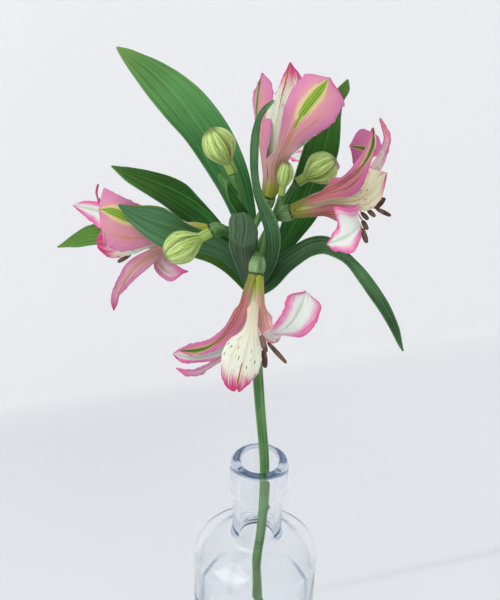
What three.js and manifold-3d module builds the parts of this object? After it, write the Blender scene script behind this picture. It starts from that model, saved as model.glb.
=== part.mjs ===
// An alstroemeria cut flower standing in a clear glass bottle vase with water.
// Millimetres, +Z up. The origin is the centre of the vase's flat foot, and the
// flower's front looks along -Y. Every leaf, bloom and bud is a closed solid seated
// CLEARANCE away from the stem that carries it.
import * as THREE from "three";
import { mergeVertices } from "three/addons/utils/BufferGeometryUtils.js";
import Module from "manifold-3d";

const wasm = await Module();
wasm.setup();

// ---------------------------------------------------------------- driving dimensions
const CLEARANCE = 0.3; // gap between neighbouring solids
const FINEST = 0.03; // slivers smaller than this are taken out of a finished solid
const NARROWEST = 0.4; // half the width of a leaf or tepal where it is narrowest

const VASE_HEIGHT = 140;
const BODY_RADIUS = 28.5;
const FOOT_RADIUS = 26;
const SHOULDER_Z = 85; // widest ring, where the side turns in to the shoulder
const NECK_FOOT_Z = 97;
const NECK_RADIUS = 11.3;
const COLLAR_RADIUS = 13;
const COLLAR_FOOT_Z = 124;
const BORE_RADIUS = 8.2;
const GLASS_WALL = 2.6;
const GLASS_FLOOR = 5;
const WATER_LEVEL = 62;
const VASE_SEGMENTS = 24;

const STEM_RADIUS = 2.1;
const LEAF_THICKNESS = 0.7;
const TEPAL_THICKNESS = 0.65;
const OVARY_LENGTH = 6;
const OVARY_RADIUS = 3;
const RECEPTACLE_RADIUS = 3; // the cup at a bloom's base that its tepals grow from
const RECEPTACLE_DEPTH = 2.2;
const FUNNEL_LENGTH = 9; // how far the tepals run together above the seat
const FUNNEL_FLARE = 1.7; // how much the funnel's radius grows on the way
const FILAMENT_RADIUS = 0.34;
const FILAMENT_RING = 0.85; // radius of the ring that the six filaments stand on
const ANTHER_LENGTH = 6;
const ANTHER_RADIUS = 1.1;

const vec = ([x, y, z]) => new THREE.Vector3(x, y, z);
const lerp = THREE.MathUtils.lerp;
const rad = THREE.MathUtils.degToRad;
const smooth = (from, to, x) => THREE.MathUtils.smoothstep(x, from, to);

// ---------------------------------------------------------------- solids
// A closed geometry as a manifold-3d solid.
function solidOf(geometry) {
  const bare = geometry.index ? geometry.toNonIndexed() : geometry.clone();
  for (const name of Object.keys(bare.attributes)) if (name !== "position") bare.deleteAttribute(name);
  const merged = mergeVertices(bare, 1e-4);
  return new wasm.Manifold(new wasm.Mesh({
    numProp: 3,
    vertProperties: new Float32Array(merged.attributes.position.array),
    triVerts: new Uint32Array(merged.index.array),
  }));
}

function geometryOf(solid) {
  const mesh = solid.getMesh();
  const geometry = new THREE.BufferGeometry();
  geometry.setAttribute("position", new THREE.BufferAttribute(mesh.vertProperties, 3));
  geometry.setIndex(new THREE.BufferAttribute(mesh.triVerts, 1));
  geometry.computeVertexNormals();
  return geometry;
}

const unite = (solids) => solids.reduce((sum, next) => sum.add(next));

// The largest body of a solid: cutting a leaf root free can leave loose scraps.
const largest = (solid) => solid.decompose().sort((a, b) => b.volume() - a.volume())[0];

// ---------------------------------------------------------------- lofted shapes
// A closed solid through rings of points, all with the same count, ended by fans.
function loft(rings) {
  const sides = rings[0].length;
  const points = rings.flat();
  const middle = (ring) => ring.reduce((sum, p) => sum.add(p), new THREE.Vector3()).divideScalar(sides);
  const first = points.push(middle(rings[0])) - 1;
  const last = points.push(middle(rings.at(-1))) - 1;
  const index = [];
  for (let k = 0; k < sides; k++) {
    const next = (k + 1) % sides;
    index.push(first, next, k);
    for (let i = 0; i < rings.length - 1; i++) {
      const a = i * sides;
      const b = a + sides;
      index.push(a + k, a + next, b + next, a + k, b + next, b + k);
    }
    const end = (rings.length - 1) * sides;
    index.push(last, end + k, end + next);
  }
  return closed(points, index);
}

// A geometry from shared points and triangles, with its faces turned outwards.
function closed(points, index) {
  const geometry = new THREE.BufferGeometry().setFromPoints(points);
  geometry.setIndex(index);
  const solid = solidOf(geometry);
  if (solid.volume() < 0) geometry.setIndex(index.slice().reverse());
  return geometry;
}

// The plane across a curve at u: two unit vectors at right angles to its tangent.
function across(tangent, hint) {
  const side = new THREE.Vector3().crossVectors(tangent, hint).normalize();
  const normal = new THREE.Vector3().crossVectors(side, tangent).normalize();
  return { side, normal };
}

const through = (points) => new THREE.CatmullRomCurve3(points.map(vec), false, "catmullrom", 0.5);

// A round stalk through points, its radius running evenly from one value to the next.
// grow thickens it, to cut the room that it needs in its neighbours.
function stalk(points, radii, { sides = 6, steps = 4, grow = 0 } = {}) {
  const curve = through(points);
  const hint = new THREE.Vector3(0.31, 0.93, 0.2); // not along any stalk
  const rings = [];
  for (let i = 0; i <= steps; i++) {
    const u = i / steps;
    const place = u * (radii.length - 1);
    const k = Math.min(Math.floor(place), radii.length - 2);
    const radius = lerp(radii[k], radii[k + 1], place - k) + grow;
    const { side, normal } = across(curve.getTangentAt(u), hint);
    rings.push(ringAround(curve.getPointAt(u), side, normal, radius, sides));
  }
  return loft(rings);
}

function ringAround(centre, side, normal, radius, sides, rib = () => 1) {
  return Array.from({ length: sides }, (_, k) => {
    const angle = (2 * Math.PI * k) / sides;
    return centre.clone()
      .addScaledVector(side, radius * rib(angle) * Math.cos(angle))
      .addScaledVector(normal, radius * rib(angle) * Math.sin(angle));
  });
}

// A thin closed blade on a surface point(u, x), u along it from 0 to 1 and x across it
// from -1 to 1. Both faces are split into triangles alike, so a waved blade never
// crosses itself. More rows lie towards the tip, where the outline turns fastest.
function blade(surface, { rows, columns, thickness, tipBias = 1 }) {
  const step = 1e-3;
  const reach = 0.1;
  const upper = [];
  const lower = [];
  for (let i = 0; i <= rows; i++) {
    const u = 1 - (1 - i / rows) ** tipBias;
    for (let j = 0; j <= columns; j++) {
      const x = (2 * j) / columns - 1;
      const point = surface(u, x);
      const along = surface(Math.min(u + step, 1), x).sub(surface(Math.max(u - step, 0), x));
      const sideways = surface(u, Math.min(x + reach, 1)).sub(surface(u, Math.max(x - reach, -1)));
      const normal = along.cross(sideways).normalize().multiplyScalar(thickness / 2);
      upper.push(point.clone().add(normal));
      lower.push(point.clone().sub(normal));
    }
  }
  const wide = columns + 1;
  const under = upper.length;
  const index = [];
  const quad = (a, b, c, d) => index.push(a, b, c, a, c, d);
  for (let i = 0; i < rows; i++) {
    for (let j = 0; j < columns; j++) {
      const a = i * wide + j;
      quad(a, a + 1, a + wide + 1, a + wide);
      index.push(under + a, under + a + wide + 1, under + a + 1);
      index.push(under + a, under + a + wide, under + a + wide + 1);
    }
    const left = i * wide;
    const right = left + columns;
    quad(left, left + wide, under + left + wide, under + left);
    quad(right + wide, right, under + right, under + right + wide);
  }
  for (let j = 0; j < columns; j++) {
    const tip = rows * wide + j;
    quad(j + 1, j, under + j, under + j + 1);
    quad(tip, tip + 1, under + tip + 1, under + tip);
  }
  return closed([...upper, ...lower], index);
}

// ---------------------------------------------------------------- ribbons
// The spine of a leaf or tepal with its side and the way its upper face looks. The face
// starts along normal, keeps to the spine, and turns so that at each of faces (a share
// of the length and a direction) it looks that way.
const RIBBON_STEPS = 60;

function ribbon(points, normal, faces) {
  const curve = through(points);
  const frames = [];
  const look = normal.clone();
  for (let i = 0; i <= RIBBON_STEPS; i++) {
    const tangent = curve.getTangentAt(i / RIBBON_STEPS);
    look.addScaledVector(tangent, -look.dot(tangent)).normalize();
    frames.push({ point: curve.getPointAt(i / RIBBON_STEPS), tangent, normal: look.clone() });
  }
  const turns = [[0.2, 0]];
  for (const [s, direction] of faces) {
    const at = frames[Math.round(s * RIBBON_STEPS)];
    const goal = vec(direction);
    const sideways = new THREE.Vector3().crossVectors(at.tangent, at.normal);
    const turn = Math.atan2(goal.dot(sideways), goal.dot(at.normal));
    const before = turns.at(-1)[1];
    turns.push([s, turn + 2 * Math.PI * Math.round((before - turn) / (2 * Math.PI))]);
  }
  frames.forEach((at, i) => {
    const s = i / RIBBON_STEPS;
    let turn = 0;
    for (let k = 1; k < turns.length; k++) {
      const [[start, first], [end, last]] = [turns[k - 1], turns[k]];
      if (s > start) turn = lerp(first, last, smooth(start, end, s));
    }
    at.normal.applyAxisAngle(at.tangent, turn);
    at.side = new THREE.Vector3().crossVectors(at.tangent, at.normal);
  });
  return (s) => {
    const place = Math.min(s * RIBBON_STEPS, RIBBON_STEPS - 1e-6);
    const [a, b] = [frames[Math.floor(place)], frames[Math.floor(place) + 1]];
    const between = (key) => a[key].clone().lerp(b[key], place % 1);
    return { point: between("point"), side: between("side"), normal: between("normal") };
  };
}

// Half widths are given to the left and right of the spine at these shares of its length.
const STOPS = [0, 0.15, 0.3, 0.42, 0.52, 0.61, 0.7, 0.78, 0.85, 0.91, 0.96, 1];

function halfWidth(values, s) {
  const slope = (i) => {
    const [a, b] = [Math.max(i - 1, 0), Math.min(i + 1, STOPS.length - 1)];
    return (values[b] - values[a]) / (STOPS[b] - STOPS[a]);
  };
  const k = STOPS.slice(0, -1).findLastIndex((stop) => stop <= s);
  const span = STOPS[k + 1] - STOPS[k];
  const t = (s - STOPS[k]) / span;
  const width = values[k] * (1 + 2 * t) * (1 - t) ** 2 + slope(k) * span * t * (1 - t) ** 2
    + values[k + 1] * t * t * (3 - 2 * t) - slope(k + 1) * span * t * t * (1 - t);
  return Math.max(width, NARROWEST);
}

// ---------------------------------------------------------------- vase and water
function revolve(profile, segments) {
  const geometry = new THREE.LatheGeometry(profile.map(([r, z]) => new THREE.Vector2(r, z)), segments);
  geometry.rotateX(Math.PI / 2);
  const solid = solidOf(geometry);
  return solid.volume() < 0 ? mirrored(geometry) : geometry;
}

function mirrored(geometry) {
  geometry.setIndex(Array.from(geometry.index.array).reverse());
  return geometry;
}

// Quarter-round points from one (radius, z) to another, bulging towards the corner.
function rounded([r0, z0], [r1, z1], [cornerR, cornerZ], steps) {
  return Array.from({ length: steps + 1 }, (_, i) => {
    const t = i / steps;
    const a = (1 - t) ** 2;
    const b = 2 * t * (1 - t);
    const c = t ** 2;
    return [a * r0 + b * cornerR + c * r1, a * z0 + b * cornerZ + c * z1];
  });
}

const innerBody = BODY_RADIUS - GLASS_WALL;
const vaseProfile = [
  [0, 0],
  ...rounded([FOOT_RADIUS, 0], [BODY_RADIUS, 4], [BODY_RADIUS, 0], 2),
  ...rounded([BODY_RADIUS, SHOULDER_Z], [NECK_RADIUS + 6, NECK_FOOT_Z - 2.5],
    [BODY_RADIUS, NECK_FOOT_Z - 5], 4),
  ...rounded([NECK_RADIUS + 2.5, NECK_FOOT_Z - 1], [NECK_RADIUS, NECK_FOOT_Z + 4],
    [NECK_RADIUS, NECK_FOOT_Z], 2),
  [NECK_RADIUS, COLLAR_FOOT_Z - 4],
  [COLLAR_RADIUS, COLLAR_FOOT_Z],
  ...rounded([COLLAR_RADIUS, VASE_HEIGHT - 2.5], [COLLAR_RADIUS - 2.3, VASE_HEIGHT],
    [COLLAR_RADIUS, VASE_HEIGHT], 3),
  ...rounded([BORE_RADIUS + 1.2, VASE_HEIGHT], [BORE_RADIUS, VASE_HEIGHT - 1.5],
    [BORE_RADIUS, VASE_HEIGHT], 2),
  [BORE_RADIUS, NECK_FOOT_Z + 2],
  ...rounded([BORE_RADIUS + 3, NECK_FOOT_Z - 3.5], [innerBody, SHOULDER_Z - 3],
    [innerBody, NECK_FOOT_Z - 8], 3),
  ...rounded([innerBody, GLASS_FLOOR + 4], [innerBody - 4, GLASS_FLOOR],
    [innerBody, GLASS_FLOOR], 2),
  [0, GLASS_FLOOR],
];
const vase = solidOf(revolve(vaseProfile, VASE_SEGMENTS));

const waterRadius = innerBody - CLEARANCE;
const waterProfile = [
  [0, GLASS_FLOOR + CLEARANCE],
  ...rounded([waterRadius - 4, GLASS_FLOOR + CLEARANCE], [waterRadius, GLASS_FLOOR + 4.5],
    [waterRadius, GLASS_FLOOR + CLEARANCE], 2),
  [waterRadius, WATER_LEVEL],
  [0, WATER_LEVEL],
];

// ---------------------------------------------------------------- stem, rays and ovaries
// The stem leans on the front of the bore; its cut foot stands on the glass floor.
const NODE = [-6.4, -13, 236.5]; // where leaves and flower stalks leave the stem
const stemPath = [[10, 7, GLASS_FLOOR + 1], [6.5, 1.5, 70], [2.6, -4.6, 139], [-1.2, -8.6, 180], NODE];

// The umbel's stalks, each a path and its radii. The first point lies inside its carrier,
// and one with a bloom runs on into the heel of that bloom's ovary.
const rays = [
  { path: [NODE, [-8.6, -12.5, 250], [-10.2, -11, 264], [-12.6, -10, 274], [-14.8, -9.2, 282]],
    radii: [2.1, 1.7, 1.5, 1.3] },
  { path: [NODE, [-3.6, -13, 247], [-1.6, -13.5, 257], [-0.4, -14, 266]], radii: [1.9, 1.6, 1.5, 1.5],
    bloom: "right" },
  { path: [NODE, [-6, -17.5, 245], [-5.4, -23, 254], [-5, -28.5, 258.5]], radii: [1.8, 1.5, 1.5, 1.5],
    bloom: "front" },
  { path: [NODE, [-5, -4, 245], [0, 8, 252], [7, 13.5, 257]], radii: [1.8, 1.5, 1.4, 1.4],
    bloom: "back" },
  { path: [[-9, -12, 254], [-6, -10.5, 262]], radii: [1.4, 1.3, 1.4], bloom: "top" },
  { path: [[-8.8, -12.4, 251], [-13, -13.5, 256.5]], radii: [1.5, 1.4, 1.5], bloom: "left" },
  { path: [[-12.6, -13.4, 256], [-16.5, -20, 263], [-21, -27.6, 267.6]], radii: [1.2, 1.3] },
  { path: [[-1, -13.6, 262], [3.6, -11.5, 271], [8.2, -9.3, 279]], radii: [1.2, 1.1] },
  { path: [[-0.6, -14, 264], [1.4, -18, 272], [2.9, -19.9, 279]], radii: [1.1, 1] },
  { path: [[-11.6, -10.2, 271], [-15.4, -8.4, 276], [-18.6, -7.4, 279], [-19.6, -7, 281]],
    radii: [0.8, 0.8, 1.7, 0.9] },
];

// ---------------------------------------------------------------- flowers
// A bloom's frame: axis along the flower, front on its -Y side, and side at phi 90.
function bloomFrame({ base, axis }) {
  const w = vec(axis).normalize();
  const front = new THREE.Vector3(0, -0.85, 0.52);
  front.addScaledVector(w, -front.dot(w)).normalize();
  return { base: vec(base), w, front, side: new THREE.Vector3().crossVectors(w, front) };
}

// A point of a tepal: from the seat it bends round the funnel, then runs on through its
// own path and opens to a blade cupped by cup (one over its radius) with waved margins.
function tepalSurface(frame, tepal) {
  const { phi, ring, path, face, left, right, cup, ruffle, phase } = tepal;
  const radial = frame.front.clone().multiplyScalar(Math.cos(rad(phi)))
    .addScaledVector(frame.side, Math.sin(rad(phi)));
  const foot = frame.base.clone().addScaledVector(radial, ring);
  const mouth = foot.clone().addScaledVector(radial, FUNNEL_FLARE)
    .addScaledVector(frame.w, FUNNEL_LENGTH);
  const at = ribbon([foot.toArray(), mouth.toArray(), ...path], radial.clone().negate(), face);
  return (s, x) => {
    const { point, side, normal } = at(s);
    const bent = lerp(1 / (ring + 9 * s), cup, smooth(0.25, 0.7, s));
    const angle = x * halfWidth(x < 0 ? left : right, s) * bent;
    const wave = ruffle * x ** 2 * smooth(0.5, 0.8, s) * Math.sin(14 * s + phase + 2 * x);
    return point.addScaledVector(side, Math.sin(angle) / bent)
      .addScaledVector(normal, (1 - Math.cos(angle)) / bent + wave);
  };
}

const OUTER = { ring: 2.7, cup: 0.04, ruffle: 0.5 };
const INNER = { ring: 1.9, cup: 0.03, ruffle: 0.3 };
const REAR_OUTER = { ...OUTER, rows: 4 };
const REAR_INNER = { ...INNER, rows: 3 };

// The five blooms, each with three outer and three inner tepals. phi is measured round
// the flower from its front; path runs from the throat to the tip; face holds the ways
// the inner side looks, and left and right the half widths at the stops.
const blooms = {
  front: {
    base: [-5, -33, 254], axis: [-0.1, -0.48, -0.87],
    tepals: [
      { ...INNER, phi: 0, path: [[-5.6, -50, 245.6], [-6.8, -56, 241.1], [-8.6, -60, 234.4],
          [-9.9, -62, 228.1], [-10.3, -62, 222]],
        face: [[0.85, [0, 0.85, -0.52]]],
        left: [1.6, 1.9, 2.1, 2.1, 3.2, 6.6, 7.6, 7.4, 6.7, 6.1, 5, 3.8],
        right: [1.6, 1.9, 2.1, 2, 3, 5.1, 6.4, 6.7, 5.9, 4.8, 3.4, 1.8] },
      { ...OUTER, phi: 60, path: [[-9.4, -43, 247.4], [-10.7, -45, 244.4], [-12.7, -47, 240.9],
          [-15.1, -48, 237.2], [-18.2, -49, 234.1], [-22.1, -49, 231.3], [-26.5, -48, 229.3],
          [-31.7, -46, 227.7]],
        face: [[0.5, [0.2, 0.71, -0.67]], [0.85, [0, 0.37, -0.93]]],
        left: [2.4, 3, 3, 2.3, 2, 2.6, 3.2, 3.6, 3.7, 3.3, 3.3, 0.25],
        right: [2.4, 3, 3, 3.6, 3.3, 2.8, 2.3, 1.7, 1.4, 1.6, 1.1, 0.25] },
      { ...OUTER, phi: -60, path: [[-2.4, -41, 246.9], [-1.7, -45, 243.5], [-0.9, -50, 242.1],
          [0.9, -55, 242.9], [4.2, -58.5, 246.3], [7.7, -60, 250.9], [10.5, -59, 256.5],
          [12, -56, 261.1]],
        face: [[0.45, [0.29, 0.82, -0.5]], [0.6, [-0.29, -0.5, -0.82]],
          [0.85, [0.15, -0.82, 0.56]]],
        left: [2.4, 3, 3.2, 3.4, 3.4, 3.6, 4.6, 4.8, 5.3, 5.8, 5.1, 0.25],
        right: [2.4, 3, 3.2, 2.4, 2.6, 3.4, 6.1, 6.8, 7.1, 6.9, 5.7, 0.25] },
      { ...OUTER, phi: 180, rows: 7, path: [[-8, -37, 232.1], [-13.7, -40, 227.2],
          [-20.6, -42, 224], [-27.6, -42, 222.3], [-34.9, -40, 222.2]],
        face: [[0.85, [-0.1, -0.9, -0.35]]],
        left: [2.6, 3.4, 4.3, 3.5, 3.7, 4.7, 4.5, 3.2, 2.8, 2.9, 2.8, 0.25],
        right: [2.6, 3.4, 4.3, 4, 4, 4, 3.6, 5.5, 7.1, 6.5, 3.9, 0.25] },
      { ...INNER, phi: 120, rows: 7, path: [[-10, -43, 231.5], [-14.9, -46, 226.7],
          [-19.9, -48, 223.7], [-24.2, -49, 221.3], [-28.6, -49, 220.4], [-33, -48, 221.3]],
        face: [[0.85, [0, -0.75, -0.66]]],
        left: [1.5, 1.8, 2.1, 2, 2.4, 2.5, 2, 2, 3.3, 3.6, 3.7, 0.25],
        right: [1.5, 1.8, 2.1, 2, 2.6, 2.8, 2.7, 3.1, 3.7, 4.5, 4.5, 0.25] },
      { ...INNER, phi: -120, rows: 5, path: [[-4.2, -42, 241.5], [-1.8, -40, 235.2],
          [1, -37, 229.8], [3.4, -33, 225.7], [5, -28, 223.2]],
        face: [[0.85, [0.3, -0.93, 0.21]]],
        left: [1.5, 1.8, 2.1, 2, 2.9, 2.9, 2.6, 2.7, 3.1, 2.9, 2.3, 0.25],
        right: [1.5, 1.8, 2.1, 2, 2.9, 2.9, 2.6, 2.1, 1.8, 0.9, 1, 0.25] },
    ],
  },
  right: {
    base: [7.5, -15, 270.5], axis: [0.86, -0.25, 0.42],
    tepals: [
      { ...INNER, phi: 0, path: [[17.3, -18, 275], [24.3, -20, 277.3], [29.7, -22, 279.3],
          [33.7, -23, 282.5], [37, -22, 286.1], [40, -20, 289.6]],
        face: [[0.85, [0.1, 0.85, -0.52]]],
        left: [1.5, 1.8, 2.1, 2.3, 2.8, 3.2, 5, 4.7, 3.8, 2.4, 1.2, 0.25],
        right: [1.5, 1.8, 2.1, 2.3, 2.8, 3.5, 3.8, 4.6, 5.4, 6.3, 7, 0.25] },
      { ...OUTER, phi: -60, path: [[12.7, -19, 277.6], [16.7, -21.5, 280.9], [22.6, -25.5, 286.6],
          [27.2, -29, 292.5], [30.2, -30, 296.8], [32.2, -28, 299.4], [33.6, -25, 301.9],
          [34.1, -21, 303.5], [33.9, -17, 305.2]],
        face: [[0.6, [0.05, 0.9, -0.43]], [0.85, [0.5, 0.78, -0.36]]],
        left: [2.6, 2.9, 3, 3.7, 5.9, 5.1, 2.7, 1.4, 1.2, 0.7, 0.3, 0.25],
        right: [2.6, 2.9, 3, 4.2, 1.9, 2.1, 2.7, 3.2, 2.9, 2.3, 1.3, 0.25] },
      { ...OUTER, phi: -140, rows: 7, path: [[23.1, -8, 275.7], [28.8, -1, 279.5], [33.6, 6, 281.9],
          [36.4, 10, 283.5], [35.4, 13, 284], [32.4, 14, 284.3], [29.1, 14, 284.8]],
        face: [[0.85, [0, 0.9, -0.43]]],
        left: [2.6, 3.4, 4.3, 4, 5.4, 5, 4, 4.5, 6, 8.1, 7.8, 0.25],
        right: [2.6, 3.4, 4.3, 4, 5.4, 5.4, 5.4, 6.6, 7.8, 7.7, 7.1, 0.25] },
      { ...INNER, phi: -170, path: [[24.6, -14, 277], [30.9, -15, 283.4], [35.4, -16, 289.5],
          [37.4, -17, 294.3], [38.8, -18, 298.7], [39.2, -18, 302.1], [38.1, -17, 305.2],
          [36.2, -15, 308.2]],
        face: [[0.85, [-0.51, -0.74, 0.45]]],
        left: [1.5, 1.8, 2.1, 1.1, 1.3, 1.3, 1.2, 1.3, 1.3, 1, 0.7, 0.25],
        right: [1.5, 1.8, 2.1, 2.3, 3, 2.7, 2.5, 1.7, 1.2, 0.9, 0.5, 0.25] },
      { ...OUTER, phi: 60, path: [[17.3, -20, 272.8], [23.5, -24, 275.1], [27.7, -28.5, 277.1],
          [29.8, -34, 278], [29.8, -38, 277.4], [27.8, -40.5, 276.1], [25.1, -41.5, 274.5],
          [22.1, -41.5, 273], [19.3, -39, 270.2]],
        face: [[0.42, [0, 0.9, -0.43]], [0.6, [0.99, -0.03, 0.14]], [0.8, [0, -0.8, 0.6]]],
        left: [2.3, 3.1, 3.2, 3.4, 3.2, 3.2, 1.7, 3.7, 6.1, 3.8, 3, 0.25],
        right: [2.3, 3.1, 3.2, 3.2, 3.6, 5, 7.5, 11.1, 5.4, 3.4, 1.4, 0.25] },
      { ...INNER, phi: 120, rows: 4, path: [[20.7, -14, 270.3], [26, -9, 265.9], [29.7, -5, 259.7],
          [29.7, -2, 252.5]],
        face: [[0.85, [0.3, -0.5, 0.6]]],
        left: [1.5, 1.8, 2.1, 1.9, 2.6, 4.2, 5.3, 5.5, 4.6, 3.1, 1.4, 0.25],
        right: [1.5, 1.8, 2.1, 1.9, 2.6, 4.2, 5.3, 5.5, 4.6, 3.1, 1.4, 0.25] },
    ],
  },
  top: {
    base: [-1.5, -10, 274.5], axis: [0.22, -0.14, 0.96],
    tepals: [
      { ...OUTER, phi: 25, path: [[0.4, -15, 286.1], [2.5, -19, 295.4], [5.2, -22, 303.9],
          [8.8, -23, 312.6], [13, -21, 318.1], [17.6, -17, 322.9]],
        face: [[0.85, [0.1, 0.85, -0.52]]],
        left: [2.8, 3.8, 4.6, 3.3, 4.4, 6.4, 9.3, 10.6, 10.5, 9.8, 8.9, 0.25],
        right: [2.8, 3.8, 4.6, 2.4, 3.5, 4.8, 6.4, 7.8, 8.2, 7.9, 6.9, 0.25] },
      { ...INNER, phi: -30, path: [[-1, -13, 285.1], [-0.7, -15, 294.6], [0, -15, 304.2],
          [1.3, -13.5, 313], [2.8, -11, 318.7], [4.1, -8, 324.7]],
        face: [[0.85, [0, 0.85, -0.52]]],
        left: [1.8, 2.2, 2.8, 2.8, 4.2, 5.5, 5.7, 6, 6.1, 5.8, 3.5, 0.25],
        right: [1.8, 2.2, 2.8, 2.8, 4.2, 4.3, 3.6, 2.4, 1.8, 1.5, 0.7, 0.25] },
      { ...OUTER, phi: -90, path: [[-3.7, -11, 284.1], [-5.1, -12, 293.2], [-6.1, -12, 300.8],
          [-6.9, -11, 307.9], [-6.5, -9, 314.6], [-5.4, -6, 319.8]],
        face: [[0.85, [0.35, 0.8, -0.49]]],
        left: [2.8, 4, 5, 4.6, 5.6, 6, 6, 6, 5.6, 4.8, 3.7, 0.25],
        right: [2.8, 4, 5, 4.6, 2.8, 1.8, 1.2, 1.8, 1.8, 0.9, 0.3, 0.25] },
      { ...OUTER, phi: 140, rows: 4, path: [[2, -5, 283.6], [5.4, -1, 290], [8.9, 4, 295.5],
          [11.1, 10, 299.5]],
        face: [[0.85, [-0.6, -0.7, 0.3]]],
        left: [2.8, 4, 5, 3.2, 4.4, 5.5, 6.2, 6.5, 6.1, 4.9, 3.1, 0.25],
        right: [2.8, 4, 5, 3.2, 4.4, 5.5, 6.2, 6.5, 6.1, 4.9, 3.1, 0.25] },
      { ...INNER, phi: 90, rows: 4, path: [[2.6, -8, 285.8], [6.5, -3, 290.9], [11.8, 1, 295.7],
          [20.6, 3, 297.6]],
        face: [[0.85, [0.11, 0.45, -0.89]]],
        left: [1.5, 1.8, 2.1, 1.2, 1.7, 2.7, 3.4, 3.5, 2.9, 2, 0.9, 0.25],
        right: [1.5, 1.8, 2.1, 1.2, 1.7, 2.7, 3.4, 3.5, 2.9, 2, 0.9, 0.25] },
      { ...INNER, phi: -160, rows: 4, path: [[-0.9, -4, 282.2], [0.3, 1, 289.7], [1.4, 6, 296.8],
          [3.8, 11, 302.4]],
        face: [[0.85, [0, -0.9, 0.4]]],
        left: [1.5, 1.8, 2.1, 1.9, 2.6, 4.2, 5.3, 5.5, 4.6, 3.1, 1.4, 0.25],
        right: [1.5, 1.8, 2.1, 1.9, 2.6, 4.2, 5.3, 5.5, 4.6, 3.1, 1.4, 0.25] },
    ],
  },
  left: {
    base: [-23.5, -13, 260], axis: [-0.96, -0.2, 0.02],
    tepals: [
      { ...OUTER, phi: 25, path: [[-31.5, -17, 259.7], [-39.7, -21, 262.7], [-47, -24, 266.9],
          [-53.3, -25, 271], [-58, -24.5, 272.8], [-62.5, -23.5, 272.9]],
        face: [[0.85, [0, 0.9, -0.43]]],
        left: [2.6, 3.4, 4.4, 4.6, 6.4, 6.7, 6.7, 6.3, 6.2, 6.5, 7.3, 8],
        right: [2.6, 3.4, 4.4, 3.4, 4.8, 8, 12.1, 13.6, 13.1, 13, 12.8, 1.2] },
      { ...INNER, phi: -40, path: [[-31.8, -14, 256.4], [-41.3, -16.5, 256.5],
          [-51.5, -18.5, 256.3], [-64.5, -19, 256.9]],
        face: [[0.85, [0, 0.9, -0.43]]],
        left: [1.5, 1.8, 2.1, 2.8, 3.5, 4.3, 4.9, 5.3, 5.4, 5.5, 5.6, 2.5],
        right: [1.5, 1.8, 2.1, 2.8, 3.6, 2.2, 3.5, 4.7, 5.5, 5.6, 4.2, 2.5] },
      { ...OUTER, phi: 170, rows: 7, path: [[-32.5, -9, 258.8], [-44.4, -3, 257.4],
          [-55.3, 2, 256.9], [-66.7, 6, 257], [-77.6, 8, 258]],
        face: [[0.85, [-0.1, -0.79, 0.6]]],
        left: [2.6, 3.4, 4.3, 4.6, 5.4, 6.6, 7.4, 7.1, 5.3, 3.5, 1.9, 0.25],
        right: [2.6, 3.4, 4.3, 3, 3.4, 3.5, 3.5, 3.4, 3.3, 3.1, 2.3, 0.25] },
      { ...INNER, phi: 110, rows: 5, path: [[-32.5, -8, 259.2], [-44.7, -4, 260],
          [-54.3, -3, 261.9], [-61.7, -4, 263.6], [-64.9, -5, 266.3], [-65.9, -6, 270.3],
          [-65.2, -6, 274.4]],
        face: [[0.85, [-0.9, -0.1, 0.41]]],
        left: [1.5, 1.8, 2.1, 0.9, 1.2, 1.9, 2.4, 2.5, 2.1, 0.7, 0.5, 0.25],
        right: [1.5, 1.8, 2.1, 0.9, 1.2, 1.9, 2.4, 2.5, 2.1, 0.7, 0.5, 0.25] },
      { ...OUTER, phi: -100, path: [[-32.5, -14, 256.4], [-38.9, -18, 254.7], [-44.8, -20, 252.3],
          [-49.5, -22, 249.4], [-53.2, -23, 244.9], [-56.4, -23, 238.8], [-59, -21, 228.6]],
        face: [[0.5, [-0.1, 0.79, -0.6]], [0.85, [-0.29, 0.82, -0.5]]],
        left: [2.4, 3, 3.4, 2.3, 2.8, 3.2, 2.6, 2.2, 2.1, 1.9, 1.3, 0.25],
        right: [2.4, 3, 3.4, 2.4, 3.4, 3.5, 3, 2.2, 0.8, 0.7, 0.8, 0.25] },
      { ...INNER, phi: -150, rows: 7, path: [[-32.7, -11, 253.9], [-36.8, -12, 252.1],
          [-40.5, -13, 250.1], [-41.7, -15, 247.1], [-39.5, -17, 244.8], [-35.9, -19, 244.8],
          [-30.6, -20, 246.3]],
        face: [[0.85, [0.1, -0.79, 0.6]]],
        left: [1.5, 1.8, 2.1, 1.6, 2.6, 4, 4.9, 4.7, 4, 2.6, 1.1, 0.25],
        right: [1.5, 1.8, 2.1, 2.8, 2.9, 2, 2.8, 3, 3.5, 1.9, 0.6, 0.25] },
    ],
  },
  back: {
    base: [14, 21, 259], axis: [0.2, 0.96, 0.05],
    tepals: [
      { ...REAR_OUTER, phi: -90, path: [[16, 32, 265], [14.1, 40, 265.8], [11.3, 46, 265.5],
          [7.3, 49, 264.2]],
        face: [[0.85, [0.31, -0.69, 0.66]]],
        left: [2.6, 3.4, 4.3, 2.2, 3.1, 3.8, 4.3, 4.5, 4.2, 3.4, 2.2, 0.25],
        right: [2.6, 3.4, 4.3, 2.2, 3.1, 3.8, 4.3, 4.5, 4.2, 3.4, 2.2, 0.25] },
      { ...REAR_OUTER, phi: 35, path: [[20.6, 32, 263.4], [24.2, 42, 263.9], [27.2, 50, 263.2]],
        face: [[0.85, [-0.5, 0.2, -0.8]]],
        left: [2.6, 3.4, 4.3, 2, 2.7, 3.4, 3.8, 4, 3.8, 3, 1.9, 0.25],
        right: [2.6, 3.4, 4.3, 2, 2.7, 3.4, 3.8, 4, 3.8, 3, 1.9, 0.25] },
      { ...REAR_OUTER, phi: 145, path: [[19.5, 33, 254.8], [23.1, 43, 251], [25.3, 51, 248.2]],
        face: [[0.85, [-0.6, 0.2, 0.7]]],
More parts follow.
